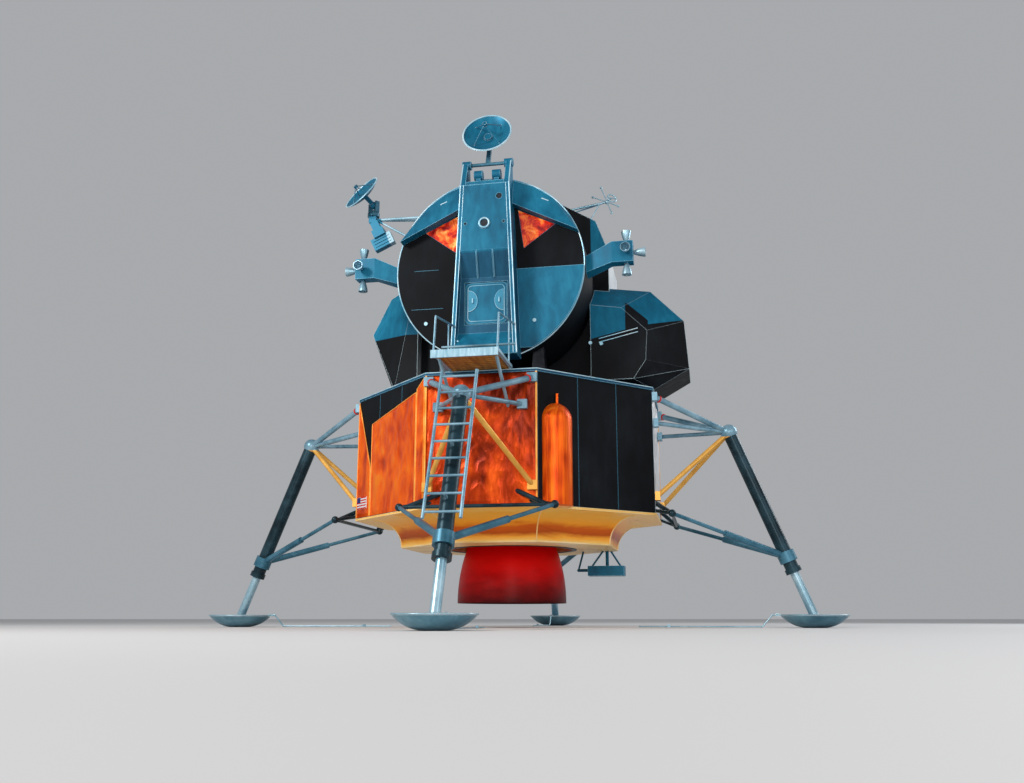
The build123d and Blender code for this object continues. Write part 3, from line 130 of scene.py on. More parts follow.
# Ports end with their radius
COLUMN_PORTS = ((-0.270, 5.440, 0.020), (0.270, 5.440, 0.020), (0.205, 5.820, 0.042))
CHEEK_FORE = 0.062
SEAM_REACH = 0.255
SEAM_CORNER = 0.055
HATCH_PLATE_SIDE = 0.245
HATCH_PLATE_RISE = 0.035
HATCH_PLATE_REACH = (0.125, 0.150)
HATCH_PLATE_DEPTH = 0.010
HANDLE_SIDE = 0.185
HANDLE_HALF = 0.009
HANDLE_OUT = 0.030
HANDLE_HEIGHT = 0.070
# Slots end with their lean in degrees
BROW_SLOTS = ((-0.66, 5.90, 22), (0.80, 5.84, -27))
SLOT_LOW = (-0.055, -0.008, -0.004)
SLOT_HIGH = (0.055, 0.008, 0.005)
# Small lamps start with the node that they sit on
SMALL_LAMPS = (
    ("cabin_face", -0.902, 4.135),
    ("face_panel", 0.642, 4.091),
    ("tank_bulges", 1.457, 3.966),
    ("tank_bulges", 1.30, 3.985),
)
SMALL_LAMP_RADIUS = 0.026
SMALL_LAMP_DEPTH = 0.018
SMALL_LAMP_OUT = 0.016
# Seams of the face: left, right, height
FACE_SEAMS = ((-1.12, -0.66, 4.350), (-1.09, -0.73, 4.920))
SEAM_HALF = 0.003
FACE_RIM_INSET = 0.005
PIPE_ENDS = ((1.42, 4.04), (1.98, 4.17))
PIPE_DROPS = (0.0, 0.055)
PIPE_OUT = Vector((0, -0.005, 0))
FLAG_ACROSS = -DIAGONAL_HALF + 0.206
FLAG_HEIGHT = 1.740
FLAG_HALF_WIDE = 0.150
FLAG_HALF_TALL = 0.085
FLAG_DEPTH = 0.020
FLAG_BANDS = 9
FLAG_RIM = 0.003
FLAG_OUT = 0.012
FLAG_PRINT = 0.002
# Where the looks that find a place on the front start from
LOOK_FROM = -6.0

# Studio lamps: name, place, size, power, tint
LAMPS = (
    ("key_lamp", (-9.0, -13.0, 10.0), 4.0, 1700.0, (1.0, 0.98, 0.95)),
    ("fill_lamp", (12.0, -10.0, 7.0), 8.0, 300.0, (0.95, 0.97, 1.0)),
    ("low_lamp", (4.0, -26.0, 6.0), 9.0, 1500.0, (1.0, 0.96, 0.92)),
    ("rim_lamp", (13.0, 9.0, 10.0), 8.0, 1100.0, (0.95, 0.98, 1.0)),
)
CAMERA_AZIMUTH = 11.0
CAMERA_DISTANCE = 14.8
CAMERA_HEIGHT = 0.12
CAMERA_LENS = 35.0
CAMERA_LOOKS_AT = (0.0, 0.0, 3.5)
CAMERA_SENSOR = 36.0
LAMPS_LOOK_AT = (0.0, 0.0, 3.0)
FLOOR_RADIUS = 400.0
SKY_TINT = (0.78, 0.8, 0.83)
SKY_STRENGTH = 0.5

# Socket numbers of the node that mixes colours
MIX_SHARE, MIX_FIRST, MIX_SECOND, MIX_RESULT = 0, 6, 7, 2
# Half the width, in metres, of the soft line between two paints
ZONE_BLUR = 0.004


# Building blocks of the finishes

finishes = {}


def new_finish(name):
    """An empty finish, kept among the finishes: its node tree and shader."""
    material = bpy.data.materials.new(name)
    material.use_nodes = True
    finishes[name] = material
    tree = material.node_tree
    return tree, tree.nodes["Principled BSDF"]


def place_of(tree, stretch=(1, 1, 1)):
    """Object coordinates, stretched."""
    coords = tree.nodes.new("ShaderNodeTexCoord")
    mapping = tree.nodes.new("ShaderNodeMapping")
    mapping.inputs["Scale"].default_value = stretch
    tree.links.new(coords.outputs["Object"], mapping.inputs["Vector"])
    return mapping.outputs["Vector"]


def clouds(tree, place, scale, detail=4.0, roughness=0.55, twist=0.0):
    """Soft random patches, from 0 to 1."""
    made = tree.nodes.new("ShaderNodeTexNoise")
    made.inputs["Scale"].default_value = scale
    made.inputs["Detail"].default_value = detail
    made.inputs["Roughness"].default_value = roughness
    made.inputs["Distortion"].default_value = twist
    tree.links.new(place, made.inputs["Vector"])
    return made.outputs["Fac"]


def facets(tree, place, scale):
    """Soft-edged cells, as creased foil has."""
    made = tree.nodes.new("ShaderNodeTexVoronoi")
    made.feature = "SMOOTH_F1"
    made.inputs["Scale"].default_value = scale
    tree.links.new(place, made.inputs["Vector"])
    return made.outputs["Distance"]


def ramp(tree, value, stops):
    """Colours along a value, from (place, colour) stops."""
    made = tree.nodes.new("ShaderNodeValToRGB")
    points = made.color_ramp.elements
    while len(points) < len(stops):
        points.new(0.5)
    for point, (place, colour) in zip(points, stops):
        point.position = place
        point.color = (*colour, 1.0)
    tree.links.new(value, made.inputs["Fac"])
    return made.outputs["Color"]


def spread(tree, value, low, high, start=0.25, end=0.75):
    """A value carried to another range."""
    made = tree.nodes.new("ShaderNodeMapRange")
    for socket, number in zip(("From Min", "From Max", "To Min", "To Max"), (start, end, low, high)):
        made.inputs[socket].default_value = number
    tree.links.new(value, made.inputs["Value"])
    return made.outputs["Result"]


def worked(tree, how, first, second):
    """Two values joined by a sum, product or the like; the second may be a number."""
    made = tree.nodes.new("ShaderNodeMath")
    made.operation = how
    tree.links.new(first, made.inputs[0])
    if isinstance(second, (int, float)):
        made.inputs[1].default_value = second
    else:
        tree.links.new(second, made.inputs[1])
    return made.outputs[0]


def tinted(tree, first, second, share):
    """Two colours mixed by a share."""
    made = tree.nodes.new("ShaderNodeMix")
    made.data_type = "RGBA"
    for socket, source in ((MIX_SHARE, share), (MIX_FIRST, first), (MIX_SECOND, second)):
        if isinstance(source, tuple):
            made.inputs[socket].default_value = (*source, 1.0)
        else:
            tree.links.new(source, made.inputs[socket])
    return made.outputs[MIX_RESULT]


def uneven(tree, shader, heights):
    """Bumps from (height value, strength, depth in metres) rows, one upon the other."""
    last = None
    for height, strength, depth in heights:
        made = tree.nodes.new("ShaderNodeBump")
        made.inputs["Strength"].default_value = strength
        made.inputs["Distance"].default_value = depth
        tree.links.new(height, made.inputs["Height"])
        if last:
            tree.links.new(last, made.inputs["Normal"])
        last = made.outputs["Normal"]
    tree.links.new(last, shader.inputs["Normal"])


def lean_of(tree, source, way):
    """How far a place, or a surface's facing, reaches along a way."""
    coords = tree.nodes.new("ShaderNodeTexCoord")
    made = tree.nodes.new("ShaderNodeVectorMath")
    made.operation = "DOT_PRODUCT"
    tree.links.new(coords.outputs[source], made.inputs[0])
    made.inputs[1].default_value = way
    return made.outputs["Value"]


def beyond(tree, source, way, limit):
    """1 past a limit along a way, 0 before it."""
    return spread(tree, lean_of(tree, source, way), 0.0, 1.0, limit - ZONE_BLUR, limit + ZONE_BLUR)


def edge_highlight_share(tree, width):
    """How near a point is to a sharp edge, from 0 to 1: the share of painted highlight there."""
    rounded = tree.nodes.new("ShaderNodeBevel")
    rounded.samples = 4
    rounded.inputs["Radius"].default_value = width
    surface = tree.nodes.new("ShaderNodeNewGeometry")
    match = tree.nodes.new("ShaderNodeVectorMath")
    match.operation = "DOT_PRODUCT"
    tree.links.new(rounded.outputs["Normal"], match.inputs[0])
    tree.links.new(surface.outputs["Normal"], match.inputs[1])
    return spread(tree, match.outputs["Value"], 1.0, 0.0, 0.9, 0.99)


def wavering(tree, level, drift):
    """A level that soft patches move up and down a little."""
    return worked(tree, "ADD", level, worked(tree, "MULTIPLY", worked(tree, "SUBTRACT", drift, 0.5), 0.3))


def dress(tree, shader, colour, rough, metal, gloss):
    """Gives a shader its colour and roughness, and its constant metal share and gloss."""
    tree.links.new(colour, shader.inputs["Base Color"])
    tree.links.new(rough, shader.inputs["Roughness"])
    shader.inputs["Metallic"].default_value = metal
    shader.inputs["Specular IOR Level"].default_value = gloss


# Tones of the paints and metals, from deep to light
TEAL = ((0.004, 0.08, 0.15), (0.006, 0.13, 0.23), (0.015, 0.2, 0.33))
# Darker teal, painted shade inside recesses
RECESS_SHADE_TEAL = ((0.005, 0.045, 0.09), (0.007, 0.075, 0.145), (0.013, 0.11, 0.2))
NIGHT = ((0.003, 0.003, 0.004), (0.005, 0.006, 0.008), (0.010, 0.013, 0.017))
# Colours of the painted highlights along edges, deep and pale
EDGE_HIGHLIGHT_BLUE = (0.22, 0.5, 0.66)
EDGE_HIGHLIGHT_PALE = (0.6, 0.78, 0.85)


def brushed(tree, tones):
    """Tones of brushed-on paint, with its wide patches and its strokes."""
    wide = clouds(tree, place_of(tree), 1.1, 3.0, 0.5)
    strokes = clouds(tree, place_of(tree, (1.0, 1.0, 0.35)), 9.0, 5.0, 0.6, 0.4)
    tone = worked(tree, "ADD", worked(tree, "MULTIPLY", wide, 0.55), worked(tree, "MULTIPLY", strokes, 0.45))
    deep, middle, light = tones
    return ramp(tree, tone, [(0.34, deep), (0.5, middle), (0.68, light)]), wide, strokes


def paint(name, tones, edge=EDGE_HIGHLIGHT_BLUE, highlight_width=0.012, metal=0.1, rough=(0.38, 0.56), gloss=0.2,
          zones=()):
    """Panel paint with a painted highlight in the edge colour along its sharp edges. Each zone is its tones
    and the (source, way, limit) rows that bound it.
    """
    tree, shader = new_finish(name)
    colour, wide, strokes = brushed(tree, tones)
    for zone_tones, *limits in zones:
        share = beyond(tree, *limits[0])
        for limit in limits[1:]:
            share = worked(tree, "MULTIPLY", share, beyond(tree, *limit))
        colour = tinted(tree, colour, brushed(tree, zone_tones)[0], share)
    # Painted highlight: the edge colour along sharp edges
    colour = tinted(tree, colour, edge, edge_highlight_share(tree, highlight_width))
    dress(tree, shader, colour, spread(tree, strokes, *rough), metal, gloss)
    grain = clouds(tree, place_of(tree), 60.0, 2.0, 0.5)
    uneven(tree, shader, [(wide, 0.2, 0.008), (grain, 0.12, 0.001)])


def foil(name, tones, stretch=(1.0, 1.0, 0.42), crush=1.0, shade=()):
    """Creased metal-coated sheet: painted highlight in bright streaks and painted shade in dark folds, on the
    noise that bumps it; shade rows (way, start, end, amount) darken it along a way."""
    tree, shader = new_finish(name)
    folds = clouds(tree, place_of(tree, stretch), 2.6, 6.0, 0.62, 1.3)
    cells = facets(tree, place_of(tree, (1.0, 1.0, 0.7)), 7.0)
    tone = worked(tree, "ADD", worked(tree, "MULTIPLY", folds, 0.8), worked(tree, "MULTIPLY", cells, 0.2))
    for way, start, end, amount in shade:
        drop = spread(tree, lean_of(tree, "Object", way), 0.0, amount, start, end)
        tone = worked(tree, "SUBTRACT", tone, drop)
    dark, middle, light, bright = tones
    # Painted highlight on the raised streaks, painted shade in the folds
    colour = ramp(tree, tone, [(0.27, dark), (0.42, middle), (0.56, light), (0.74, bright)])
    dress(tree, shader, colour, spread(tree, folds, 0.26, 0.46), 0.45, 0.2)
    fine = clouds(tree, place_of(tree), 26.0, 4.0, 0.6, 0.8)
    uneven(tree, shader, [(cells, 0.4 * crush, 0.03), (folds, 0.4 * crush, 0.03), (fine, 0.3 * crush, 0.005)])


def bare_metal(name, deep, light, rough, metal, stretch=(1, 1, 1), zones=()):
    """Worked metal with soft smudges and a fine tooth; zones are (way, limit, deep, light)."""
    tree, shader = new_finish(name)
    smudge = clouds(tree, place_of(tree, stretch), 3.5, 4.0, 0.6)
    colour = ramp(tree, smudge, [(0.35, deep), (0.65, light)])
    for way, limit, zone_deep, zone_light in zones:
        other = ramp(tree, smudge, [(0.35, zone_deep), (0.65, zone_light)])
        colour = tinted(tree, colour, other, beyond(tree, "Object", way, limit))
    dress(tree, shader, colour, spread(tree, smudge, *rough), metal, 0.25)
    tooth = clouds(tree, place_of(tree), 120.0, 2.0, 0.5)
    uneven(tree, shader, [(smudge, 0.15, 0.002), (tooth, 0.08, 0.0004)])


def skirt_finish():
    """Gold, with painted light up its height: painted highlight at the ledge and at the foot, and orange and
    dark red bands of painted shade in the hollow between.
    """
    tree, shader = new_finish("gold_skirt")
    drift = clouds(tree, place_of(tree, (0.7, 0.7, 3.0)), 2.6, 5.0, 0.6, 0.6)
    level = spread(tree, lean_of(tree, "Object", UP), 0.0, 1.0, 1.13, 1.53)
    level = wavering(tree, level, drift)
    colour = ramp(tree, level, [
        (0.0, (1.0, 0.62, 0.15)), (0.12, (1.0, 0.42, 0.04)), (0.27, (0.5, 0.08, 0.003)),
        (0.45, (0.66, 0.12, 0.005)), (0.62, (1.0, 0.38, 0.02)), (0.88, (1.0, 0.52, 0.07)),
        (1.0, (1.0, 0.7, 0.22)),
    ])
    dress(tree, shader, colour, spread(tree, drift, 0.25, 0.42), 0.1, 0.2)
    fine = clouds(tree, place_of(tree), 22.0, 4.0, 0.6, 0.5)
    uneven(tree, shader, [(drift, 0.4, 0.03), (fine, 0.3, 0.004)])


def plate_finish():
    """Pale heat plate with warmer patches."""
    tree, shader = new_finish("pale_plate")
    drift = clouds(tree, place_of(tree), 1.8, 5.0, 0.6)
    colour = ramp(tree, drift, [(0.3, (0.8, 0.5, 0.16)), (0.5, (0.92, 0.68, 0.3)), (0.7, (0.96, 0.84, 0.58))])
    dress(tree, shader, colour, spread(tree, drift, 0.35, 0.55), 0.15, 0.5)
    uneven(tree, shader, [(clouds(tree, place_of(tree), 30.0), 0.3, 0.003)])


def nozzle_finish():
    """Red, brightest above and darker towards the mouth."""
    tree, shader = new_finish("nozzle_red")
    level = spread(tree, lean_of(tree, "Object", UP), 0.0, 1.0, 0.34, 1.2)
    drift = clouds(tree, place_of(tree, (1, 1, 3)), 2.5, 5.0, 0.6)
    level = wavering(tree, level, drift)
    colour = ramp(tree, level, [
        (0.0, (0.06, 0.0005, 0.001)), (0.25, (0.25, 0.001, 0.001)), (0.55, (0.7, 0.001, 0.001)),
        (0.85, (0.95, 0.002, 0.002)), (1.0, (0.75, 0.002, 0.002)),
    ])
    dress(tree, shader, colour, spread(tree, drift, 0.3, 0.5), 0.1, 0.12)
    uneven(tree, shader, [(drift, 0.2, 0.01)])


def pane_finish():
    """Window glass with a painted warm glow, as if a lit cabin stood behind it."""
    tree, shader = new_finish("glass_with_painted_glow")
    glow = clouds(tree, place_of(tree), 7.0, 5.0, 0.6, 0.5)
    colour = ramp(tree, glow, [
        (0.36, (0.2, 0.003, 0.002)), (0.47, (0.6, 0.02, 0.006)), (0.58, (0.9, 0.16, 0.02)),
        (0.7, (1.0, 0.5, 0.15)),
    ])
    tree.links.new(colour, shader.inputs["Base Color"])
    tree.links.new(colour, shader.inputs["Emission Color"])
    # Painted glow: the glass gives off a little light of its own colour
    shader.inputs["Emission Strength"].default_value = 0.3
    shader.inputs["Roughness"].default_value = 0.12
    shader.inputs["Coat Weight"].default_value = 0.5
    shader.inputs["Coat Roughness"].default_value = 0.05


WHITE = ((0.55, 0.6, 0.63), (0.7, 0.74, 0.76), (0.85, 0.87, 0.87))
ORANGE_TONES = ((0.36, 0.025, 0.001), (0.75, 0.07, 0.002), (1.0, 0.15, 0.004), (1.0, 0.34, 0.02))
# Darker copy of the orange foil's tones, as painted shade on the front wall
SHADED_FRONT_TONES = ((0.2, 0.014, 0.001), (0.5, 0.04, 0.001), (0.8, 0.09, 0.003), (1.0, 0.26, 0.018))
PALE_BLUE = ((0.2, 0.38, 0.48), (0.42, 0.6, 0.69))
RAIL_BLUE = ((0.1, 0.22, 0.3), (0.26, 0.43, 0.53))
PAD_TONES = ((0.06, 0.17, 0.24), (0.13, 0.29, 0.37), (0.28, 0.46, 0.55))
RED = ((0.4, 0.01, 0.008), (0.6, 0.02, 0.012), (0.75, 0.03, 0.02))
FLAG_BLUE = ((0.01, 0.02, 0.12), (0.015, 0.03, 0.18), (0.02, 0.05, 0.25))
LIT_SILVER_TONES = ((0.42, 0.43, 0.46), (0.6, 0.62, 0.65), (0.8, 0.81, 0.82), (0.95, 0.95, 0.94))

# How rough a surface is, from its smoothest patch to its roughest
MATT = (0.5, 0.7)
SATIN = (0.28, 0.45)
SILKY = (0.25, 0.42)
DULL = (0.3, 0.45)

paint("blue_paint", TEAL)
paint("black_paint", NIGHT, (0.06, 0.22, 0.33), metal=0.0, rough=MATT, gloss=0.08)
# Painted light by facing: black as painted shade, teal where faces turn up and on the front's upper right,
# white on right-facing faces as painted highlight
paint("shoulder_paint_and_painted_light", NIGHT, EDGE_HIGHLIGHT_PALE, 0.014, metal=0.0, rough=MATT, gloss=0.1, zones=(
    (TEAL, ("Normal", UP, 0.6)),
    (TEAL, ("Normal", FORE, 0.9), ("Object", RIGHT, 1.3), ("Object", UP, 5.45)),
    (WHITE, ("Normal", RIGHT, 0.7)),
))
# Teal, with black zones of painted cast shadow and shade: the right bulge's lower part and wedges, the left
# bulge below 4.28 m and down-facing faces; white on right-facing faces is painted highlight
paint("bulge_paint_and_painted_light", TEAL, EDGE_HIGHLIGHT_PALE, 0.014, metal=0.0, rough=(0.45, 0.65), gloss=0.1, zones=(
    (NIGHT, ("Object", RIGHT, 0.0), ("Object", (0.232, 0, -1), -3.74)),
    (NIGHT, ("Object", RIGHT, 1.805), ("Object", LEFT, -2.123), ("Object", (-0.903, 0, -1), -6.22)),
    (NIGHT, ("Object", RIGHT, 1.805), ("Object", (-0.7, 0, -1), -5.6)),
    (NIGHT, ("Object", LEFT, 0.0), ("Object", DOWN, -4.28)),
    (NIGHT, ("Normal", DOWN, 0.25)),
    (WHITE, ("Normal", RIGHT, 0.75)),
))
# Darker teal behind the column's front between 3.9 m and 5.06 m high, in the hatch's recess, is painted shade
paint("column_paint_and_recess_shade", TEAL, zones=(
    (RECESS_SHADE_TEAL, ("Object", BACK, -1.99), ("Object", DOWN, -5.06), ("Object", UP, 3.9)),
))
paint("dish_paint", TEAL, EDGE_HIGHLIGHT_PALE, 0.008, metal=0.3, rough=DULL)
# The pads' pale edge colour is a painted highlight on their rims
paint("pad_metal", PAD_TONES, (0.72, 0.84, 0.88), 0.016, metal=0.35, rough=SILKY, gloss=0.4)
paint("light_blue_paint", ((0.03, 0.2, 0.32), (0.05, 0.26, 0.4), (0.09, 0.34, 0.48)))
paint("deck_paint", ((0.004, 0.03, 0.065), (0.008, 0.07, 0.14), (0.015, 0.1, 0.18)))
paint("white_paint", WHITE, WHITE[2], metal=0.05)
paint("red_paint", RED, RED[2])
paint("flag_blue", FLAG_BLUE, FLAG_BLUE[2])
foil("orange_foil", ORANGE_TONES)
# Front wall foil: painted shade, darker still towards its upper right as a painted shadow under the porch
foil("front_foil_in_painted_shade", SHADED_FRONT_TONES, shade=(((0.75, 0, 0.65), 1.0, 2.5, 0.2),))
# Upright bright and dark streaks down the round canister: painted highlight and shade
foil("canister_foil", ORANGE_TONES, stretch=(5.0, 5.0, 0.25), crush=0.4)
# Pale silver foil on the side walls stands in for the strong light on the right-hand wall: painted highlight
foil("silver_foil_as_painted_highlight", LIT_SILVER_TONES)
bare_metal("strut_black", (0.006, 0.018, 0.026), (0.02, 0.055, 0.075), SILKY, 0.4)
bare_metal("strut_blue", (0.03, 0.12, 0.18), (0.08, 0.22, 0.31), SATIN, 0.4)
bare_metal("rail_blue", *RAIL_BLUE, SATIN, 0.4)
bare_metal("pale_blue_metal", *PALE_BLUE, SILKY, 0.6)
# Pale blue trim, also worn by the lines that stand in for highlights along edges: painted highlight
bare_metal("trim_and_highlight_metal", EDGE_HIGHLIGHT_BLUE, EDGE_HIGHLIGHT_PALE, DULL, 0.3)
bare_metal("outrigger_metal", (0.75, 0.36, 0.06), (0.95, 0.52, 0.12), SATIN, 0.4, zones=(
    (UP, 2.68, *RAIL_BLUE),
))
bare_metal("boom_metal", *PALE_BLUE, (0.35, 0.5), 0.2, zones=(
    ((-0.93, 0, -0.36), -0.36, TEAL[1], TEAL[2]),
))
bare_metal("dark_metal", (0.012, 0.014, 0.018), (0.045, 0.05, 0.06), (0.3, 0.5), 0.7)
bare_metal("pale_gold_highlight", (0.95, 0.6, 0.2), (1.0, 0.8, 0.42), DULL, 0.3)
bare_metal("gold_highlight_strip", (0.95, 0.3, 0.03), (1.0, 0.52, 0.12), DULL, 0.35)
bare_metal("porch_metal", (0.3, 0.13, 0.03), (0.55, 0.28, 0.07), (0.35, 0.55), 0.35, (9, 0.6, 1), (
    (FORE, 3.03, *PALE_BLUE),
    (RIGHT, 0.384, *PALE_BLUE),
    (LEFT, 0.384, *PALE_BLUE),
    (DOWN, -3.28, *PALE_BLUE),
))
skirt_finish()
plate_finish()
nozzle_finish()
pane_finish()

# Which finish each CAD node wears
NODE_FINISHES = {
    "blue_paint": (
        "window_brows", "forward_hatch", "face_panel", "thruster_arms", "landing_radar", "radar_bracket",
    ),
    "column_paint_and_recess_shade": ("hatch_column",),
    # The black on cabin_face is painted shade over its window recesses and its left cheek; the right cheek,
    # face_panel, is teal
    "black_paint": ("cabin_drum", "cabin_face", "stage_core", "rear_bay"),
    "shoulder_paint_and_painted_light": ("midsection",),
    "bulge_paint_and_painted_light": ("tank_bulges",),
    "canister_foil": ("side_canister",),
    "orange_foil": ("foil_sheets", "stage_walls"),
    "gold_skirt": ("base_skirt",),
    "pale_plate": ("bottom_plate",),
    "nozzle_red": ("engine",),
    "glass_with_painted_glow": ("window_glass",),
    "deck_paint": ("stage_deck",),
    "strut_black": ("strut_cylinders", "side_trusses"),
    "strut_blue": ("side_struts", "antenna_mount", "radar_yoke"),
    "dish_paint": ("radar_dish", "antenna_dish"),
    "outrigger_metal": ("outriggers",),
    "boom_metal": ("antenna_boom",),
    "pale_blue_metal": (
        "strut_pistons", "whip_antenna", "thruster_bells", "docking_tunnel", "docking_hatch",
        "probe_right", "probe_rear", "probe_left", "probe_front",
    ),
    "pad_metal": ("foot_pads",),
    "rail_blue": ("ladder", "handrails"),
    "dark_metal": ("gimbal_ring", "engine_beams", "hatch_brackets", "docking_lugs", "stage_posts"),
    "porch_metal": ("porch",),
}
for finish, members in NODE_FINISHES.items():
    for member in members:
        mesh = nodes[member].data
        mesh.materials.clear()
        mesh.materials.append(finishes[finish])


# Building blocks of the new pieces

def piece(name, bm, finish, body="lander"):
    """A new piece from its mesh, in its finish, going with a body of the lander."""
    bmesh.ops.recalc_face_normals(bm, faces=bm.faces)
    for face in bm.faces:
        face.smooth = False
    mesh = bpy.data.meshes.new(name)
    bm.to_mesh(mesh)
    bm.free()
    mesh.materials.append(finishes[finish])
    made = bpy.data.objects.new(name, mesh)
    bpy.context.scene.collection.objects.link(made)
    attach(made, body)
    return made


def edges_at(verts):
    """The edges that meet points of a newly made shape."""
    return list({edge for vert in verts for edge in vert.link_edges})


def add_box(bm, low, high, place=Matrix.Identity(4), soft=0.0):
    """A box between two corners of a place, its edges rounded off where a radius is given."""
    low, high = Vector(low), Vector(high)
    size = Matrix.Diagonal((*(high - low), 1.0))
    made = bmesh.ops.create_cube(bm, size=1.0, matrix=place @ Matrix.Translation((low + high) / 2) @ size)
    if soft:
        bmesh.ops.bevel(bm, geom=edges_at(made["verts"]), offset=soft, offset_type="OFFSET", segments=2,
                        profile=0.5, affect="EDGES", material=-1)


def add_bar(bm, path, radius, closed=False, segments=10):
    """A round bar along a path of points, with mitred corners; a closed one joins up again."""
    points = [Vector(point) for point in path]
    runs = [(after - before).normalized() for before, after in zip(points, points[1:] + points[:1])]
    if not closed:
        runs[-1] = runs[-2]
    into = runs[-1] if closed else runs[0]
    side = into.orthogonal().normalized()
    rings = []
    for point, out in zip(points, runs):
        mitre = into + out
        arms = [(arm - into * (arm.dot(mitre) / into.dot(mitre))) * radius
                for arm in (side, into.cross(side))]
        place = Matrix((*arms, into)).transposed().to_4x4()
        place.translation = point
        ring = bmesh.ops.create_circle(bm, segments=segments, radius=1.0, matrix=place)
        rings.append(edges_at(ring["verts"]))
        side.rotate(into.rotation_difference(out))
        into = out
    for first, second in zip(rings, rings[1:] + (rings[:1] if closed else [])):
        bmesh.ops.bridge_loops(bm, edges=first + second)
    if not closed:
        for ring in (rings[0], rings[-1]):
            bmesh.ops.contextual_create(bm, geom=ring)


def add_ring(bm, centre, axis, radius, thickness, steps=64, sides=10):
    """A round ring about an axis."""
    axis = Vector(axis).normalized()
    arm = axis.orthogonal().normalized()
    place = Matrix((arm, axis, arm.cross(axis))).transposed().to_4x4()
    place.translation = Vector(centre) + arm * radius
    made = bmesh.ops.create_circle(bm, segments=sides, radius=thickness, matrix=place)
    bmesh.ops.spin(bm, geom=made["verts"] + edges_at(made["verts"]), cent=centre, axis=axis, dvec=(0, 0, 0),
                   angle=math.tau, steps=steps, use_merge=True, use_duplicate=False)


def thicken(bm, faces, way):
    """Grows flat faces into a closed solid along a way."""
    grown = bmesh.ops.extrude_face_region(bm, geom=faces, use_keep_orig=True)
    verts = [item for item in grown["geom"] if isinstance(item, bmesh.types.BMVert)]
    bmesh.ops.translate(bm, verts=verts, vec=way)


def add_half_disc(bm, centre, reach, side, depth):
    """The half of a flat oval, seen from the front, that lies on the inner side of its centre."""
    place = Matrix.Translation(centre) @ Matrix.Rotation(math.radians(90), 4, "X")
    stretch = Matrix.Diagonal((reach[0], reach[1], 1.0, 1.0))
    made = bmesh.ops.create_circle(bm, cap_ends=True, segments=48, radius=1.0, matrix=place @ stretch)
    faces = list({face for vert in made["verts"] for face in vert.link_faces})
    cut = bmesh.ops.bisect_plane(bm, geom=made["verts"] + edges_at(made["verts"]) + faces, plane_co=centre,
                                 plane_no=(side, 0, 0), clear_outer=True)
    kept = [item for item in cut["geom"] if isinstance(item, bmesh.types.BMFace)]
    thicken(bm, kept, (0, depth, 0))


def octagon(flat, height):
    """The corners of the descent stage's outline at a distance from its axis."""
    return [(flat, -FACE_HALF, height), (flat, FACE_HALF, height), (FACE_HALF, flat, height),
            (-FACE_HALF, flat, height), (-flat, FACE_HALF, height), (-flat, -FACE_HALF, height),
            (-FACE_HALF, -flat, height), (FACE_HALF, -flat, height)]


def add_disc(bm, centre, axis, radius, depth, steps=32):
    """A flat round disc whose face is at the centre, with its depth behind it."""
    axis = Vector(axis).normalized()
    spin = axis.to_track_quat("Z", "Y").to_matrix().to_4x4()
    place = Matrix.Translation(Vector(centre) - axis * depth / 2) @ spin
    bmesh.ops.create_cone(bm, cap_ends=True, segments=steps, radius1=radius, radius2=radius, depth=depth,
                          matrix=place)


def wall_place(turn):
    """The place of a stage wall, counted in eighths of a turn: X along the face, Y inwards."""
    return Matrix.Rotation(math.radians(45 * turn + 90), 4, "Z")


def crease(x, z, seed):
    """How far creased foil stands out at a point of its sheet, from 0 to 1, in sharp upright folds."""
    low = 0.0
    for scale, share in FOLDS:
        low += share * abs(noise.noise(Vector((x * scale, seed, z * scale * 0.5))))
        seed += 7.3
    return max(0.0, 1.0 - FOLD_SHARPNESS * low)


def add_foil(bm, turn, left, right, foot, tops, flat, proud, depth, seed):
    """A creased sheet on a stage wall, its top sloping from one height to the other and its hem flat."""
    across = max(2, round((right - left) / FOIL_PITCH))
    up = max(2, round((max(tops) - foot) / FOIL_PITCH))
    made = bmesh.ops.create_grid(bm, x_segments=across, y_segments=up, size=0.5)
    rim = {edge for vert in made["verts"] for edge in vert.link_edges if edge.is_boundary}
    place = wall_place(turn)
    for vert in made["verts"]:
        share, rise = vert.co.x + 0.5, vert.co.y + 0.5
        top = tops[0] + (tops[1] - tops[0]) * share
        x = left + (right - left) * share
        z = foot + (top - foot) * rise
        room = min(x - left, right - x, z - foot, top - z)
        held = min(1.0, room / FOIL_HEM)
        out = proud + depth * crease(x, z, seed) * held
        vert.co = place @ Vector((x, -flat - out, z))
    skirt = bmesh.ops.extrude_edge_only(bm, edges=list(rim))
    verts = [item for item in skirt["geom"] if isinstance(item, bmesh.types.BMVert)]
    edges = [item for item in skirt["geom"] if isinstance(item, bmesh.types.BMEdge) and item.is_boundary]
    bmesh.ops.translate(bm, verts=verts, vec=place.to_3x3() @ Vector((0, proud + PANEL_DEPTH * 0.8, 0)))
    bmesh.ops.contextual_create(bm, geom=edges)


